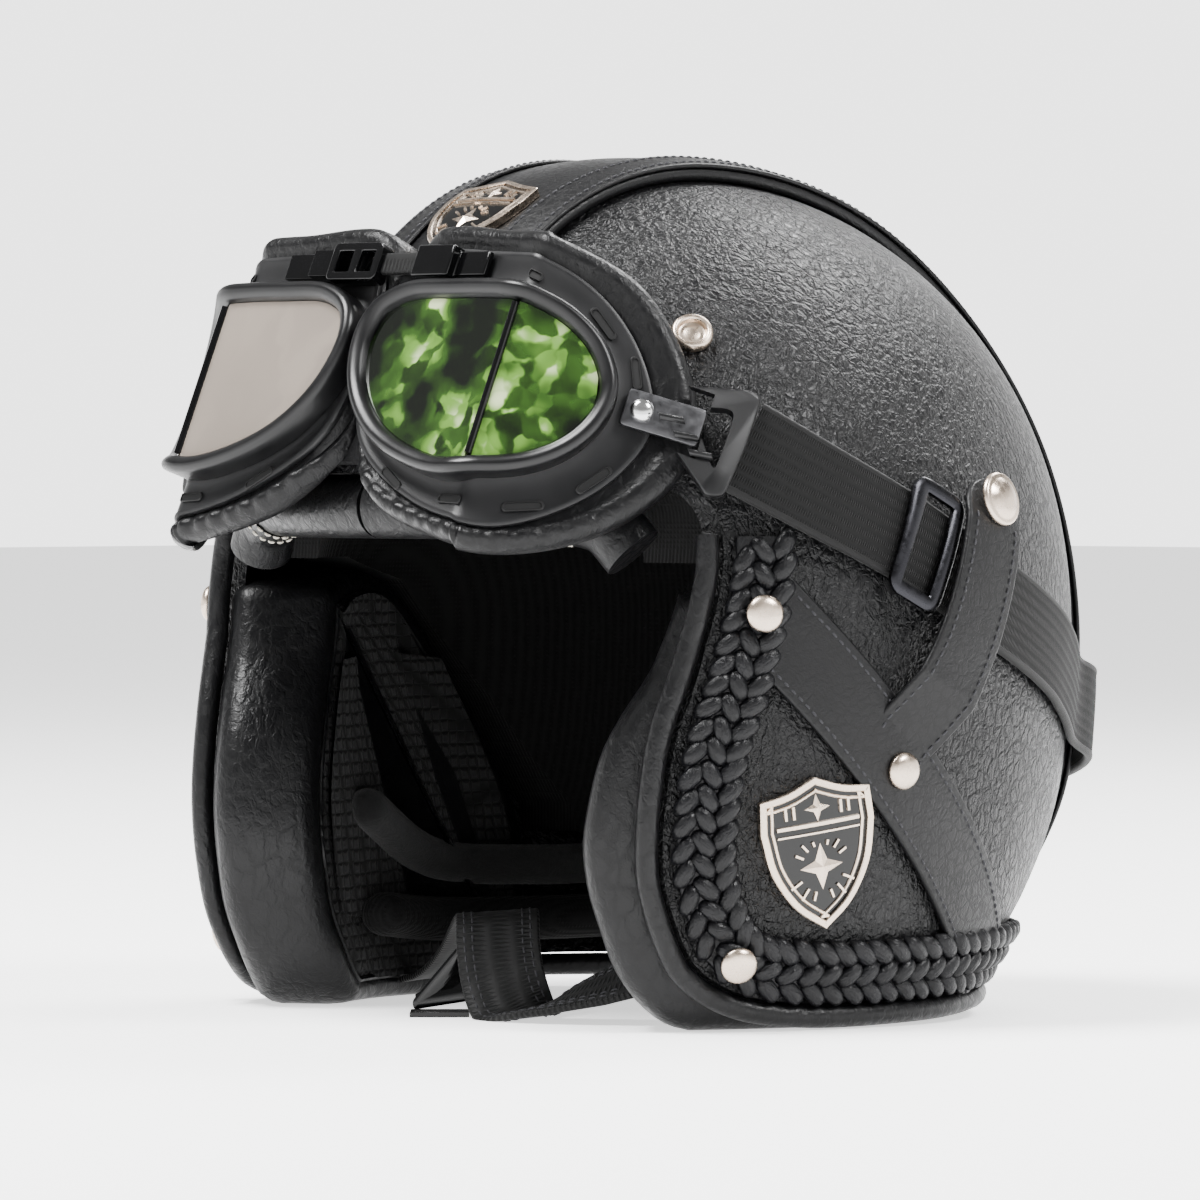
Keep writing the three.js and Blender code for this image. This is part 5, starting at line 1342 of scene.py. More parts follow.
def make_lenses():
    outline = by_angle(loop_outline(RIM_SHARES, RIM_CENTRE, 47.5, 29.5), RIM_CENTRE)
    clear = outline + inward(outline) * 5.4
    upper, lower = clear[clear[:, 1] > 0], clear[clear[:, 1] <= 0]
    upper, lower = upper[np.argsort(upper[:, 0])], lower[np.argsort(lower[:, 0])]
    ends = clear[:, 0].min() + 0.15, clear[:, 0].max() - 0.15

    def high_of(a):
        return float(np.interp(a, upper[:, 0], upper[:, 1]))

    def low_of(a):
        return float(np.interp(a, lower[:, 0], lower[:, 1]))

    for part, first, last in (("inner", ends[0], FOLD_REACH - 1.2), ("outer", FOLD_REACH + 1.2, ends[1])):
        columns = np.linspace(first, last, 30)
        rings = lens_half(columns, low_of, high_of, 3.6, 5.4)
        for side, turn in (("left", lambda p: p), ("right", mirrored)):
            piece = ring_piece(f"lens_{part}_{side}", turn(rings), angle=30)
            # Each lens takes the painted reflection colour of its side.
            finish_piece(piece, LOOKS[f"lens_{side}"], f"lens_{part}_{side}", slot="tinted_lens")
    profile = [(-1.2, 5.6), (-1.3, 3.6), (-1.15, 2.7), (-0.8, 2.15), (-0.3, 1.95), (0.3, 1.95), (0.8, 2.15),
               (1.15, 2.7), (1.3, 3.6), (1.2, 5.6)]
    rings = np.array([[(FOLD_REACH + a, up, d) for a, d in profile] for up in np.linspace(-22.8, 22.8, 12)])
    both_sides("lens_bar", goggle_point(rings[..., 0], rings[..., 1], rings[..., 2]), "gloss", "lens_bar",
               "black_plastic", angle=50)


def goggle_block(name, a, up, depth, edge=0.6, radius=1.2):
    """Bevelled block in the goggles' frame, bent with it."""
    corners = rounded_rectangle((a[1] - a[0]) / 2, (up[1] - up[0]) / 2, radius)
    middle = ((a[0] + a[1]) / 2, (up[0] + up[1]) / 2)
    path = smooth_closed(corners, 72)
    half = np.array([(a[1] - a[0]) / 2, (up[1] - up[0]) / 2])
    rings = []
    for inset, d in ((min(half) * 0.7, depth[1]), (edge, depth[1]), (0, depth[1] - edge),
                     (0, depth[0] + edge),
                     (edge * 0.3, depth[0] + edge * 0.3), (edge, depth[0]), (min(half) * 0.5, depth[0])):
        spot = path * (1 - inset / half)
        rings.append(goggle_point(middle[0] + spot[:, 0], middle[1] + spot[:, 1], d))
    return ring_piece(name, np.array(rings), angle=30)


def make_bridge():
    up = 36.0
    strap = goggle_strip("bridge_band", (0.0, 13.9), up, 6.5, (4.4, 6.4))
    finish_piece(strap, LOOKS["webbing"], "bridge_strap", slot="nylon")
    buckle = goggle_strip_block("bridge_loop", (-20.0, 0.0), up, 11.5, (2.6, 7.6), 1.8)
    for first, last in ((-17.5, -11.5), (-8.5, -2.5)):
        cut_away(buckle, raw_block("bridge_hole", (first, last), (up - 3.2, up + 3.2), (-4.0, 14.0)))
    finish_piece(smooth(bevelled(buckle, 0.35), 40), LOOKS["gloss"], "bridge_buckle", slot="black_plastic")
    for name, a, high, tab, depth in (("left", (14.0, 28.6), 9.5, (27.0, 40.5), 3.0),
                                      ("right", (-28.6, -20.3), 8.0, (-40.5, -27.0), 3.6)):
        block = raw_block(f"bridge_block_{name}", a, (up - high / 2, up + high / 2), (depth, 7.8))
        tongue = raw_block("bridge_tongue", tab, (up - 3.75, up + 3.75), (5.8, 7.8))
        modified(block, "BOOLEAN", operation="UNION", object=tongue, solver="EXACT")
        bpy.data.objects.remove(tongue)
        finish_piece(smooth(bevelled(block, 0.7), 40), LOOKS["gloss"], f"bridge_block_{name}",
                     slot="black_plastic")


def bevelled(piece, width):
    return modified(piece, "BEVEL", width=width * 0.001, segments=3, limit_method="ANGLE",
                    angle_limit=math.radians(40))


def signed_point(a, up, depth):
    """The frame's point on either side of its middle."""
    a = np.asarray(a, float)
    spot = goggle_point(np.abs(a), up, depth)
    spot[..., 0] *= np.where(a < 0, -1.0, 1.0)
    return spot


def raw_block(name, a, up, depth, cells=6):
    """Plain block in the frame, with a grid of faces so that it bends with the frame."""
    columns = np.linspace(a[0], a[1], cells + 1)
    rings = np.array([[(c, up[0], depth[0]), (c, up[0], depth[1]), (c, up[1], depth[1]), (c, up[1], depth[0])]
                      for c in columns])
    return ring_piece(name, signed_point(rings[..., 0], rings[..., 1], rings[..., 2]), angle=20)


def goggle_strip(name, a, up, width, depth):
    rings = np.array([[(c, up + w, d) for w, d in rounded_strip(width, 0, depth[1] - depth[0], 0.6, 3)]
                      for c in np.linspace(a[0], a[1], 14)])
    return ring_piece(name, signed_point(rings[..., 0], rings[..., 1], depth[1] - rings[..., 2]))


def goggle_strip_block(name, a, up, width, depth, radius):
    corners = rounded_rectangle((a[1] - a[0]) / 2, width / 2, radius)
    rings = np.array([[(u + (a[0] + a[1]) / 2, v + up, d) for u, v in corners] for d in depth])
    return ring_piece(name, signed_point(rings[..., 0], rings[..., 1], rings[..., 2]), angle=30)


# Goggle side hardware

ANCHOR_OUTLINE = ((-73.5, 172.8), (-58.5, 172.8), (-48.2, 172.3), (-63.2, 145.3), (-66.4, 145.3),
                  (-71.1, 159.8))
ANCHOR_HOLE = ((-64.8, 167.9), (-55.7, 167.4), (-64.0, 151.2))


def anchor_lift(y):
    return 14.5 - 4.5 * np.clip((np.asarray(y, float) + 73.5) / 25.3, 0.0, 1.0)


def rounded_polygon(corners, radius, per_corner=5):
    corners = np.asarray(corners, float)
    points = []
    for i, here in enumerate(corners):
        before = corners[i - 1] - here
        after = corners[(i + 1) % len(corners)] - here
        reach = min(radius, 0.42 * np.linalg.norm(before), 0.42 * np.linalg.norm(after))
        first = here + before / np.linalg.norm(before) * reach
        last = here + after / np.linalg.norm(after) * reach
        for t in np.linspace(0, 1, per_corner + 1):
            points.append((1 - t)**2 * first + 2 * t * (1 - t) * here + t**2 * last)
    return np.array(points)


def plate_piece(name, outline, lift_of, thick, edge=0.5):
    """Plate that follows the shell at a lift, with a softened top edge."""
    path = smooth_closed(outline, 90)
    middle = path.mean(axis=0)
    rings = []
    for shrink, height in ((0.0, 0.0), (0.0, thick - edge), (edge * 0.3, thick - edge * 0.3), (edge, thick)):
        spot = path + unit3(middle - path) * shrink
        feet = side_point(spot[:, 0], spot[:, 1])
        rings.append(lifted(feet, lift_of(spot[:, 0]) + height))
    return ring_piece(name, np.array(rings), angle=30)


def unit3(way):
    return way / np.maximum(np.linalg.norm(way, axis=-1, keepdims=True), 1e-6)


def make_anchor():
    piece = plate_piece("anchor", rounded_polygon(ANCHOR_OUTLINE, 4.0), anchor_lift, 3.2, 0.7)
    hole = plate_piece("anchor_hole", rounded_polygon(ANCHOR_HOLE, 2.5), lambda y: anchor_lift(y) - 3, 12.0,
                       0.1)
    cut_away(piece, hole)
    room = raw_block("anchor_room", (81.5, 122.0), (-6.0, 14.0), (-8.0, 8.3))
    cut_away(piece, room)
    ribs = []
    for n, (y, z) in enumerate(((-70.6, 165.0), (-69.2, 160.6), (-67.6, 156.2))):
        rows = []
        for t in np.linspace(0, 1, 6):
            spot = (y + t * 4.0, z - t * 1.0)
            rows.append(lifted(side_point([spot[0]] * 6,
                                          [spot[1] + d for d in (-0.9, -0.7, -0.3, 0.3, 0.7, 0.9)]),
                               float(anchor_lift(spot[0])) + 3.2 + np.array((-0.4, 0.35, 0.75, 0.75, 0.35,
                                                                             -0.4))))
        ribs.append(ring_piece(f"rib_{n}", np.array(rows)))
    piece = joined("strap_anchor_left", [smooth(piece, 30)] + ribs)
    for part, side in ((piece, "left"), (mirror_copy(piece, "strap_anchor_right"), "right")):
        finish_piece(part, LOOKS["plastic"], f"strap_anchor_{side}", slot="black_plastic")


def make_tab():
    tab = goggle_block("strap_tab_left", (99.0, 121.3), (-1.5, 9.5), (6.0, 7.6), 0.35, radius=1.0)
    for part, side in ((tab, "left"), (mirror_copy(tab, "strap_tab_right"), "right")):
        finish_piece(part, LOOKS["steel"], f"strap_tab_{side}", slot="satin_steel")
    foot = goggle_point(104.0, 4.0, 6.0)
    out = unit(goggle_point(104.0, 4.0, 5.0) - foot)
    side_way = unit(np.cross(out, np.array([0.0, 0.0, 1.0])))
    other = np.cross(out, side_way)
    angles = np.arange(32) * 2 * math.pi / 32
    rings = np.array([foot + out * h + max(r, 0.02) * (np.cos(angles)[:, None] * side_way
                      + np.sin(angles)[:, None] * other) for r, h in dome(3.3, 2.4)])
    both_sides("tab_rivet_head", rings, "bright", "tab_rivet", "satin_steel", angle=60)


# Padding inside

CHEEK_PAD_TOP = 128.0


def cheek_outline(count=110):
    edge = edge_route(-PIPING - 1.2, 60)
    heights = (0.0, 0.3, 0.5, 0.7, 0.92, 1.15)
    reach = np.interp(edge[:, 2] / WIDEST_HEIGHT, heights, (14.5, 15.5, 16.5, 14.5, 9.5, 7.5))
    outline = []
    for i in range(60):
        row = edge_route_at(i, reach[i])
        if row[1] < CHEEK_PAD_TOP - 2:
            outline.append(row)
    outline += [(48.0, 14.0), (52.0, 51.2), (31.2, 84.8), (0.0, 120.0), (-31.5, CHEEK_PAD_TOP)]
    return smooth_closed(smooth_loop(np.array(outline)), count)


EDGE_PLAIN = smooth_route([(0.0, y, z) for y, z in EDGE_PLACES], 60)
EDGE_ALONG = unit(np.gradient(EDGE_PLAIN, axis=0))


def edge_route_at(i, reach):
    p, t = EDGE_PLAIN[i], EDGE_ALONG[i]
    return (p[1] + t[2] * reach, max(p[2] - t[1] * reach, 0.0))


def smooth_loop(corners):
    """The same outline with its corners turned softly."""
    for _ in range(2):
        after = np.roll(corners, -1, axis=0)
        corners = np.stack([corners * 0.75 + after * 0.25, corners * 0.25 + after * 0.75],
                           axis=1).reshape(-1, 2)
    return corners


def flat_out(points):
    out = out_of(points)
    out = out * np.array([1.0, 1.0, 0.0])
    return unit(out)


def make_cheek_pads():
    outline = cheek_outline(120)
    middle = outline.mean(axis=0)
    normal = inward(outline)
    layers = ((2.5, 5.2), (3.6, 2.2), (6.0, 0.6), (9.0, 0.0), (16.0, 0.0), (23.0, 0.0), (27.5, 0.4),
              (30.6, 1.4),
              (32.4, 3.2), (33.2, 5.4))
    rings = []
    for depth, shrink in layers:
        spot = outline + normal * shrink
        rings.append(pad_place(spot, depth))
    seam = outline + normal * 7.4
    body = [pad_place(outline + (middle - outline) * s + normal * 5.2 * (1 - s), d) for s,
            d in ((0.7, 2.5), (0.35, 2.5))]
    rings = np.array([body[1], body[0]] + rings + [pad_place(seam, 32.6)])
    fabric = [pad_place(seam, 32.0), pad_place(outline + normal * 8.2, 33.4),
              pad_place(outline + normal * 11.0, 34.6)]
    spine = pad_spine(outline)
    for share in (0.3, 0.5, 0.72, 0.94):
        fabric.append(pad_place(outline + (spine - outline) * share, 35.0 + 1.6 * share))
    cord_foot = pad_place(outline + normal * 7.2, 33.2)
    cord = tube_rings(np.append(cord_foot, cord_foot[:1], axis=0)[:-1], 0.9, 8)
    for side, turn in (("left", lambda p: p), ("right", mirrored)):
        roll = ring_piece(f"cheek_roll_{side}", turn(rings), angle=70)
        finish_piece(roll, LOOKS["roll"], f"cheek_pad_{side}", slot="smooth_leather")
        face = ring_piece(f"cheek_face_{side}", turn(np.array(fabric)), angle=70)
        finish_piece(face, LOOKS["mesh"], slot="lining_fabric")
        line = ring_piece(f"cheek_cord_{side}", turn(cord), looped=True)
        finish_piece(line, LOOKS["roll"], slot="smooth_leather")


def pad_spine(outline):
    """For each place of the outline, the pad's middle at nearly the same height."""
    after = np.roll(outline, -1, axis=0)
    low, high = outline[:, 1].min() + 24.0, outline[:, 1].max() - 24.0
    spine = []
    for z in np.clip(outline[:, 1], low, high):
        crossed = (outline[:, 1] - z) * (after[:, 1] - z) < 0
        share = (z - outline[crossed, 1]) / (after[crossed, 1] - outline[crossed, 1])
        y = outline[crossed, 0] + share * (after[crossed, 0] - outline[crossed, 0])
        spine.append(((y.min() + y.max()) / 2, z))
    return np.array(spine)


def pad_place(spot, depth):
    foot = side_point(spot[:, 0], np.maximum(spot[:, 1], 1.0))
    foot[:, 2] = np.maximum(spot[:, 1], 0.0)
    place = foot - flat_out(foot) * depth
    place[:, 2] = np.maximum(spot[:, 1], 0.02)
    return place


def make_temple_rolls():
    head = ring_point(np.array([0.0, 12.0, 24.0, 36.0]), 145.5, 10.0)
    bend = side_point([-83.7, -77.4, -73.9], [145.0, 141.0, 133.0], 10.0)
    route = smooth_route(np.concatenate([head, bend]), 90)
    rings = tube_rings(route, 9.0, 28)
    rings[:, :, 0] = np.maximum(rings[:, :, 0], 0.1)
    lines = []
    for station in (66, 70):
        ring = rings[station]
        centre = ring.mean(axis=0)
        facing = np.append(ring, ring[:1], axis=0)
        lines.append(stitches("brow_stitch", facing + unit(facing - centre) * 0.1, unit(facing - centre),
                              spacing=2.7, length=2.1, radius=0.42))
    lines = joined("brow_stitches_left", lines)
    for piece in (lines, mirror_copy(lines, "brow_stitches_right")):
        finish_piece(piece, LOOKS["pale_thread"], slot="smooth_leather")
    for side, turn in (("left", lambda p: p), ("right", mirrored)):
        piece = ring_piece(f"brow_roll_{side}", turn(rings), angle=70)
        finish_piece(piece, LOOKS["roll"], f"temple_roll_{side}", slot="smooth_leather")


NECK_PLACES = ((52, 22, 43), (86, 3, 43), (114, 0, 42), (138, 0, 18), (160, 0, 18), (180, 0, 18))


def make_neck_rolls():
    turns = np.array([p[0] for p in NECK_PLACES] + [360 - p[0] for p in NECK_PLACES[-2::-1]], float)
    rise = np.array([p[1] for p in NECK_PLACES] + [p[1] for p in NECK_PLACES[-2::-1]], float)
    depth = np.array([p[2] for p in NECK_PLACES] + [p[2] for p in NECK_PLACES[-2::-1]], float)
    for name, height, radius, share, look, slot in (("upper", 38.0, 6.0, 1.0, "fleece", "fleece_fabric"),
                                                    ("lower", 22.5, 6.5, 0.2, "lining", "lining_fabric")):
        spots = np.array([ring_point(t, height + r * share, d) for t, r, d in zip(turns, rise, depth)])
        route = smooth_route(spots, 160)
        piece = ring_piece(f"neck_{name}", tube_rings(route, radius, 22, taper=9.0), angle=70)
        finish_piece(piece, LOOKS[look], f"neck_roll_{name}", slot=slot)


# Badges

SHIELD = ((0, -1), (-0.5, -0.68), (-0.86, -0.2), (-1, 0.35), (-0.96, 0.78), (-0.5, 0.84), (0, 1), (0.5, 0.84),
          (0.96, 0.78), (1, 0.35), (0.86, -0.2), (0.5, -0.68))


def shield_outline(width, height, count=120):
    loop = np.array(SHIELD, float) * (width / 2, height / 2)
    closed = np.append(loop, loop[:1], axis=0)
    left = smooth_route([(0.0, *p) for p in closed[0:4]], 20)[:-1, 1:]
    rest = [left]
    for a, b in ((3, 4), (4, 6), (6, 8), (8, 9)):
        part = closed[a:b + 1]
        if b - a == 1:
            rest.append(np.linspace(part[0], part[1], 10, endpoint=False))
        else:
            rest.append(smooth_route([(0.0, *p) for p in part], 20)[:-1, 1:])
    rest.append(smooth_route([(0.0, *p) for p in closed[9:13]], 20)[:-1, 1:])
    return smooth_closed(np.concatenate(rest), count)


def badge(name, foot, up, width, height, lift, thick, node, look_rim, slot):
    out = unit(out_of(foot))
    high = unit(np.asarray(up, float) - out * float(np.dot(up, out)))
    side = np.cross(high, out)
    outline = shield_outline(width, height)
    steps = inward(outline)

    def place(flat, rise):
        flat = np.asarray(flat, float)
        spots = foot + flat[:, :1] * side + flat[:, 1:] * high
        return lifted(settle(spots), lift + rise)

    def plate(low, high_, grow, edge=0.3):
        rings = [place(outline + steps * grow, low), place(outline + steps * grow, high_ - edge),
                 place(outline + steps * (grow + edge), high_)]
        for share in (0.7, 0.4, 0.1):
            rings.append(place((outline + steps * (grow + edge)) * share, high_))
        return ring_piece("badge_plate", np.array(rings))

    def band(outer, inner, low, high_):
        rows = []
        for grow, rise in ((outer, low), (outer, high_ - 0.25), (outer + 0.25, high_), (inner - 0.25, high_),
                           (inner, high_ - 0.25), (inner, low)):
            rows.append(place(outline + steps * grow, rise))
        return ring_piece("badge_band", np.array(rows))

    def bar(a, b, wide, low, high_):
        a, b = np.asarray(a, float), np.asarray(b, float)
        way = (b - a) / np.linalg.norm(b - a)
        off = np.array([-way[1], way[0]])
        rows = []
        for t in np.linspace(0, 1, 7):
            spot = a + (b - a) * t
            rows.append(place([spot - off * wide / 2, spot - off * wide * 0.32, spot + off * wide * 0.32,
                               spot + off * wide / 2], np.array([low, high_, high_, low])))
        return ring_piece("badge_bar", np.array(rows))

    def star(centre, reach, waist, low, high_):
        tips = []
        for k in range(8):
            radius = reach if k % 2 == 0 else waist
            angle = math.pi / 2 + k * math.pi / 4
            tips.append(np.asarray(centre) + radius * np.array([math.cos(angle), math.sin(angle)]))
        tips = np.array(tips)
        bottom = place(tips, low)
        top = place(tips, low + 0.35)
        tip = place([centre], high_)[0]
        points = list(bottom) + list(top) + [tip]
        faces = [list(range(7, -1, -1))]
        faces += [[k, (k + 1) % 8, 8 + (k + 1) % 8, 8 + k] for k in range(8)]
        faces += [[8 + k, 8 + (k + 1) % 8, 16] for k in range(8)]
        return face_out(new_piece("badge_star", points, faces))

    scale = height / 43.0
    deep = thick - 1.1
    enamel = plate(0.0, thick - 0.9, 0.15)
    metal = [band(0.0, 2.0 * scale, 0.1, thick), band(3.1 * scale, 4.0 * scale, 0.1, thick - 0.35)]
    wide = width / 2
    metal.append(bar((-wide * 0.72, 8.4 * scale), (wide * 0.72, 8.4 * scale), 1.5 * scale, deep, thick - 0.2))
    metal.append(bar((-wide * 0.72, 6.0 * scale), (wide * 0.72, 6.0 * scale), 0.8 * scale, deep, thick - 0.3))
    metal.append(star((0.0, 12.9 * scale), 3.9 * scale, 1.5 * scale, deep, thick))
    for place_x in (-9.6, -7.2, 7.2, 9.6):
        metal.append(bar((place_x * scale, 10.6 * scale), (place_x * scale, 14.2 * scale), 1.2 * scale, deep,
                         thick - 0.3))
    metal.append(star((0.0, -3.6 * scale), 6.6 * scale, 2.6 * scale, deep, thick + 0.1))
    for turn in (-62, -40, -18, 18, 40, 62, 118, 142, 162, 198, 218, 242):
        way = np.array([math.sin(math.radians(turn)), math.cos(math.radians(turn))])
        reach = 8.8 if abs(way[1]) < 0.8 else 7.6
        first, last = 7.2 if abs(turn) > 100 else 6.2, reach + (2.2 if turn > 100 else 0.0)
        start, end = np.array([0.0, -3.6]) + way * first, np.array([0.0, -3.6]) + way * last
        if end[1] < 4.6:
            metal.append(bar(start * scale, end * scale, 1.0 * scale, deep, thick - 0.3))
    finish_piece(enamel, LOOKS["enamel"], node, slot=slot)
    finish_piece(joined(name, metal), look_rim, slot=slot)


def make_badges():
    badge("front_badge_metal", crown_point(0.185, 0.0), (0, 1, 0.6), 30.0, 34.0, 4.0, 2.6, "front_badge",
          LOOKS["nickel"], "black_nickel")
    foot = side_point(-39.5, 50.0)
    badge("side_badge_metal_left", foot, (0, -0.16, 1), 35.0, 43.0, 0.2, 2.8, "side_badge_left",
          LOOKS["nickel"],
          "black_nickel")
    badge("side_badge_metal_right", mirrored(foot[None])[0], (0, -0.16, 1), 35.0, 43.0, 0.2, 2.8,
          "side_badge_right", LOOKS["nickel"], "black_nickel")


# Chin strap

CHIN = ((55, -48, 14.4, -0.6, 0.7, 0.45), (46, -53, 11, -0.6, 0.7, 0.35), (32, -59, 6, -0.4, 0.85, 0.2),
        (21, -61, 1.6, 0.2, 1, 0.05), (14, -60, 3.5, 0.6, 0.8, 0.2), (8, -58, 11, 0.68, 0.68, 0.25),
        (3, -55, 20, 0.7, 0.7, 0.18), (-2, -50.5, 27.6, 0.7, 0.7, 0.1), (-18, -36, 26, 0.7, 0.7, 0),
        (-42, -20, 15, 0.5, 0.85, 0), (-60, -12, 8, 0.3, 0.95, 0), (-71, -8.5, 7, 0.1, 1, 0.1))


def chin_frames(count=150):
    table = np.array(CHIN, float)
    route = smooth_route(table[:, :3], count)
    spots = np.append(0.0, np.cumsum(np.linalg.norm(np.diff(table[:, :3], axis=0), axis=1)))
    steps = np.append(0.0, np.cumsum(np.linalg.norm(np.diff(route, axis=0), axis=1)))
    across = np.stack([np.interp(steps / steps[-1], spots / spots[-1], table[:, 3 + k]) for k in range(3)],
                      axis=1)
    along = unit(np.gradient(route, axis=0))
    across = unit(across - along * np.sum(across * along, axis=1, keepdims=True))
    return route, along, across, np.cross(along, across)


def make_chin_strap():
    route, along, across, out = chin_frames()
    shape = rounded_strip(24.0, -1.0, 1.0, 0.6, 10)
    rings = np.array([route[i] + [across[i] * x + out[i] * h for x, h in shape] for i in range(len(route))])
    rings[:, :, 2] = np.maximum(rings[:, :, 2], 0.05)
    strap = ring_piece("chin_webbing", rings)
    finish_piece(strap, LOOKS["webbing"], "chin_strap", slot="nylon")
    rows = []
    for place in (-9.5, -7.2, 7.2, 9.5):
        for way in (1, -1):
            line = route[6:96] + across[6:96] * place + out[6:96] * 1.02 * way
            line[:, 2] = np.maximum(line[:, 2], 0.3)
            rows.append(stitches("webbing_stitch", line, out[6:96] * way, spacing=3.2, length=2.3,
                                 radius=0.3))
    finish_piece(joined("chin_stitches", rows), LOOKS["thread"], slot="nylon")


def corner_point(across, depth, z):
    r = math.sqrt(0.5)
    across, depth, z = np.broadcast_arrays(*(np.asarray(v, float) for v in (across, depth, z)))
    return np.stack([across * r - depth * r, across * r + depth * r, z], axis=-1)


def make_buckle():
    outline = rounded_polygon(((-61, 1.6), (-61.5, 4), (-46, 22.5), (-33, 22.5), (-33, 6)), 2.2)
    normal = inward(outline)
    rings = []
    for inset, depth in ((3.0, -33.8), (0.5, -33.8), (0, -34.3), (0, -36.5), (0.3, -36.85), (0.8, -37.0),
                         (3.0, -36.8), (4.2, -36.2)):
        spot = outline + normal * inset
        rings.append(corner_point(spot[:, 0], depth, spot[:, 1]))
    finish_piece(ring_piece("buckle_plate", np.array(rings), angle=35), LOOKS["gloss"], "chin_buckle",
                 slot="black_plastic")
    outline = rounded_rectangle(8.5, 0.7, 0.3)
    rings = [corner_point(outline[:, 0] - 53.5, d, outline[:, 1] + 0.72) for d in np.linspace(-46, -30, 6)]
    finish_piece(ring_piece("buckle_tongue", np.array(rings), angle=35), LOOKS["gloss"], "buckle_tab",
                 slot="black_plastic")


# Stage

VIEW_TURN = math.radians(45)
VIEW_DISTANCE = 2500.0


def make_stage():
    bpy.ops.object.select_all(action="DESELECT")
    bpy.ops.mesh.primitive_plane_add(size=1.0, location=(0, 0, 0))
    floor = bpy.context.object
    floor.name = "floor"
    for vertex, corner in zip(floor.data.vertices, ((-9, -9), (9, -9), (-9, 9), (9, 9))):
        vertex.co = Vector((corner[0], corner[1], 0.0))
    look, tree, shader = new_material("pale_floor")
    shader.inputs["Base Color"].default_value = (0.97, 0.97, 0.97, 1.0)
    shader.inputs["Roughness"].default_value = 0.85
    shader.inputs["Emission Color"].default_value = (1.0, 1.0, 1.0, 1.0)
    shader.inputs["Emission Strength"].default_value = 1.1
    floor.data.materials.append(look)
    world = bpy.context.scene.world or bpy.data.worlds.new("soft room")
    bpy.context.scene.world = world
    world.use_nodes = True
    back = world.node_tree.nodes.get("Background") or world.node_tree.nodes.new("ShaderNodeBackground")
    tree = world.node_tree
    ways = add_node(tree, "ShaderNodeTexCoord")
    parts = add_node(tree, "ShaderNodeSeparateXYZ", {0: ways.outputs["Generated"]})
    room = add_node(tree, "ShaderNodeMapRange",
                    {"Value": parts.outputs["Z"], "From Min": 0.10, "From Max": 0.42,
                                                 "To Min": 3.2, "To Max": 0.4},
                                                 interpolation_type="SMOOTHSTEP")
    back.inputs["Color"].default_value = (1.0, 1.0, 1.0, 1.0)
    tree.links.new(room.outputs[0], back.inputs["Strength"])
    lights = (("key", (-0.35, -0.75, 1.8), 0.8, 110.0), ("side", (1.5, 0.3, 1.6), 0.7, 60.0),
              ("back", (-0.3, 1.5, 1.7), 0.9, 60.0))
    for name, place, size, power in lights:
        bpy.ops.object.light_add(type="AREA", location=place)
        light = bpy.context.object
        light.name = name
        light.data.size = size
        light.data.energy = power
        way = Vector((0, 0, 0.12)) - Vector(place)
        light.rotation_euler = way.to_track_quat("-Z", "Y").to_euler()
    bpy.ops.object.camera_add()
    camera = bpy.context.object
    camera.name = "camera"
    camera.data.sensor_width = 36.0
    camera.data.lens = 259.0
    camera.data.clip_start = 0.1
    camera.data.clip_end = 40.0
    climb = math.radians(1.0)
    right = Vector((math.cos(VIEW_TURN), math.sin(VIEW_TURN), 0))
    target = Vector((0, 0, 118)) - 7.8 * right
    place = target + VIEW_DISTANCE * Vector((math.sin(VIEW_TURN) * math.cos(climb),
                                             -math.cos(VIEW_TURN) * math.cos(climb), math.sin(climb)))
    shift = Vector((0, SHIFT_Y, 0))
    camera.location = (place + shift) * 0.001
    camera.rotation_euler = (target - place).to_track_quat("-Z", "Y").to_euler()
    bpy.context.scene.camera = camera


# The add-on's operators


def make_pieces(operator, *steps):
    if not LOOKS:
        make_looks()
    for step in steps:
        step()
    operator.report({"INFO"}, operator.bl_label + " made")
    return {"FINISHED"}


class HELMET_OT_shell(bpy.types.Operator):
    """Make the leather-covered shell and its padded lining."""
    bl_idname = "helmet.shell"
    bl_label = "Shell and lining"
    bl_options = {"REGISTER", "UNDO"}

    def execute(self, context):
        return make_pieces(self, make_shell, make_lining)


class HELMET_OT_crown(bpy.types.Operator):
    """Make the smooth band over the crown with its stitched hems."""
    bl_idname = "helmet.crown"
    bl_label = "Crown band"
    bl_options = {"REGISTER", "UNDO"}

    def execute(self, context):
        return make_pieces(self, make_crown_band)


class HELMET_OT_rim(bpy.types.Operator):
    """Make the plaited leather and the cord round the rim."""
    bl_idname = "helmet.rim"
    bl_label = "Rim braid and piping"
    bl_options = {"REGISTER", "UNDO"}

    def execute(self, context):
        return make_pieces(self, make_braid, make_piping)


class HELMET_OT_side(bpy.types.Operator):
    """Make the smooth side bands, the strap keepers, rivets and snaps."""
    bl_idname = "helmet.side"
    bl_label = "Side bands, keepers and rivets"
    bl_options = {"REGISTER", "UNDO"}

    def execute(self, context):
        return make_pieces(self, make_side_band, make_keeper, make_rivets)


class HELMET_OT_pads(bpy.types.Operator):
    """Make the cheek pads, the brow rolls and the neck rolls."""
    bl_idname = "helmet.pads"
    bl_label = "Padding"
    bl_options = {"REGISTER", "UNDO"}

    def execute(self, context):
        return make_pieces(self, make_cheek_pads, make_temple_rolls, make_neck_rolls)


class HELMET_OT_goggles(bpy.types.Operator):
    """Make the goggle rims, plates, surrounds, lenses and bridge."""
    bl_idname = "helmet.goggles"
    bl_label = "Goggles"
    bl_options = {"REGISTER", "UNDO"}

    def execute(self, context):
        return make_pieces(self, make_rims, make_plates, make_pads, make_lenses, make_bridge)


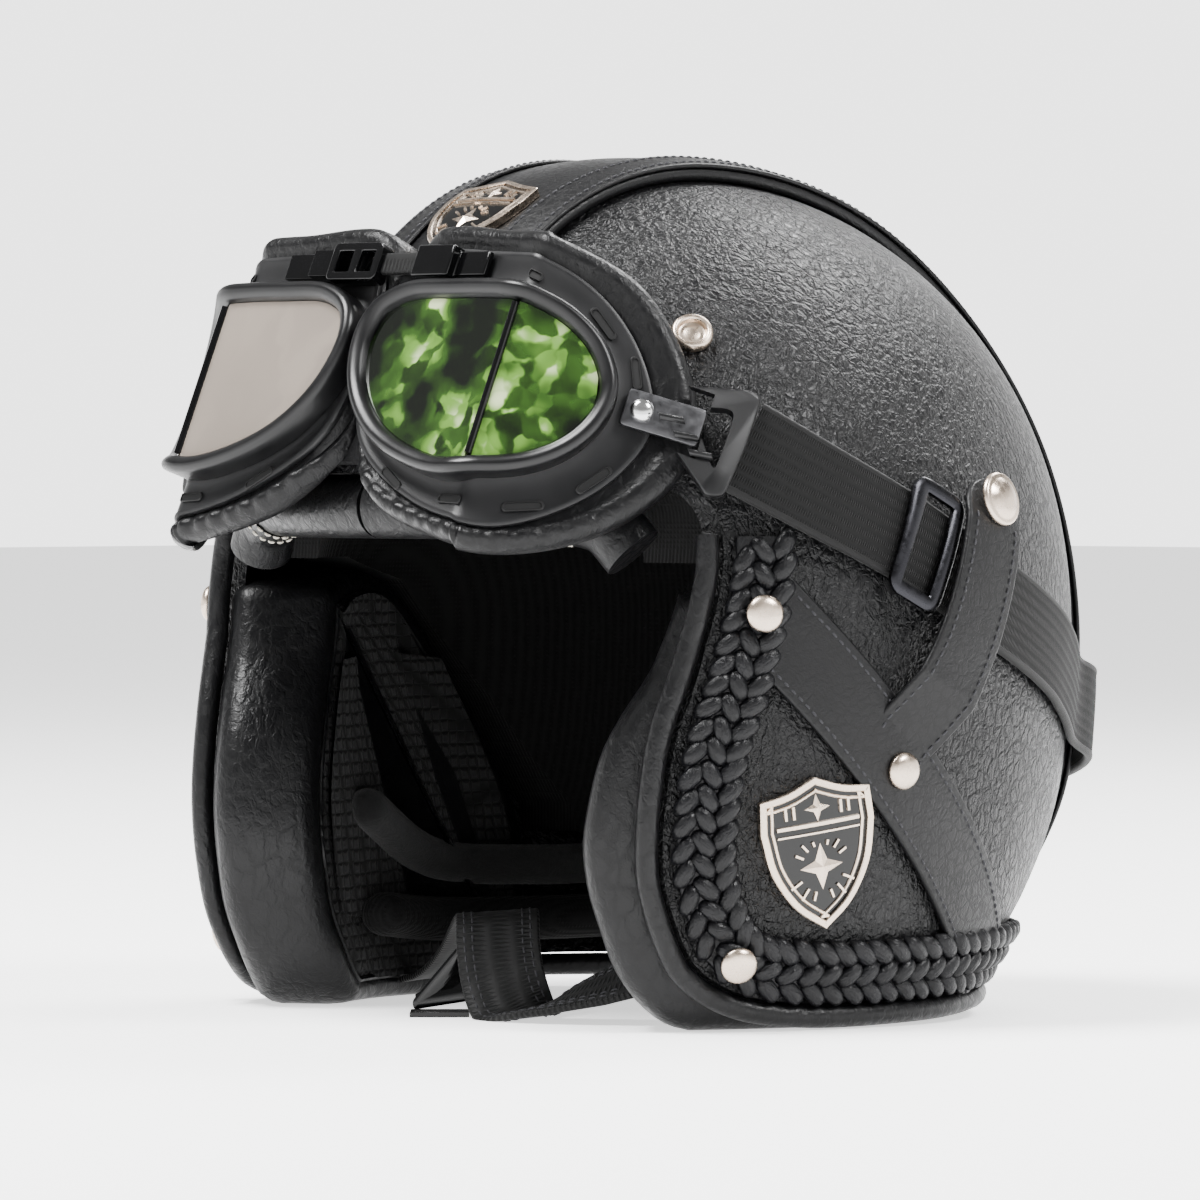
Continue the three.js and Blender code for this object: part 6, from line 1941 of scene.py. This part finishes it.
class HELMET_OT_strap(bpy.types.Operator):
    """Make the elastic strap with its sliders, anchors, tabs and rivets."""
    bl_idname = "helmet.strap"
    bl_label = "Goggle strap"
    bl_options = {"REGISTER", "UNDO"}

    def execute(self, context):
        return make_pieces(self, make_goggle_strap, make_slider, make_anchor, make_tab)


class HELMET_OT_badges(bpy.types.Operator):
    """Make the enamelled shields on the brow and the cheeks."""
    bl_idname = "helmet.badges"
    bl_label = "Badges"
    bl_options = {"REGISTER", "UNDO"}

    def execute(self, context):
        return make_pieces(self, make_badges)


class HELMET_OT_chin(bpy.types.Operator):
    """Make the chin webbing with its buckle."""
    bl_idname = "helmet.chin"
    bl_label = "Chin strap"
    bl_options = {"REGISTER", "UNDO"}

    def execute(self, context):
        return make_pieces(self, make_chin_strap, make_buckle)


class HELMET_OT_stage(bpy.types.Operator):
    """Set the floor, the soft lights and the camera."""
    bl_idname = "helmet.stage"
    bl_label = "Stage"
    bl_options = {"REGISTER", "UNDO"}

    def execute(self, context):
        return make_pieces(self, make_stage)


class HELMET_PT_build(bpy.types.Panel):
    """The helmet's settings and its pieces, in the 3D view's sidebar."""
    bl_idname = "HELMET_PT_build"
    bl_label = "Helmet"
    bl_space_type = "VIEW_3D"
    bl_region_type = "UI"
    bl_category = "Helmet"

    def draw(self, context):
        scene = context.scene
        for group in (scene.helmet_leather, scene.helmet_goggles, scene.helmet_trim):
            box = self.layout.box()
            for name in group.bl_rna.properties.keys():
                if name not in {"rna_type", "name"}:
                    box.prop(group, name)
        column = self.layout.column(align=True)
        for operator in OPERATORS:
            column.operator(operator.bl_idname)


OPERATORS = (HELMET_OT_shell, HELMET_OT_crown, HELMET_OT_rim, HELMET_OT_side,
             HELMET_OT_pads, HELMET_OT_goggles, HELMET_OT_strap, HELMET_OT_badges,
             HELMET_OT_chin, HELMET_OT_stage)
SETTINGS = (("helmet_leather", HelmetLeather), ("helmet_goggles", HelmetGoggles), ("helmet_trim", HelmetTrim))


def register():
    for name, kind in SETTINGS:
        bpy.utils.register_class(kind)
        setattr(bpy.types.Scene, name, PointerProperty(type=kind))
    for kind in OPERATORS:
        bpy.utils.register_class(kind)
    bpy.utils.register_class(HELMET_PT_build)


def unregister():
    bpy.utils.unregister_class(HELMET_PT_build)
    for kind in reversed(OPERATORS):
        bpy.utils.unregister_class(kind)
    for name, kind in reversed(SETTINGS):
        delattr(bpy.types.Scene, name)
        bpy.utils.unregister_class(kind)


def main():
    register()
    bpy.ops.helmet.shell()
    bpy.ops.helmet.crown()
    bpy.ops.helmet.rim()
    bpy.ops.helmet.side()
    bpy.ops.helmet.pads()
    bpy.ops.helmet.goggles()
    bpy.ops.helmet.strap()
    bpy.ops.helmet.badges()
    bpy.ops.helmet.chin()
    bpy.ops.helmet.stage()


if __name__ == "__main__":
    main()
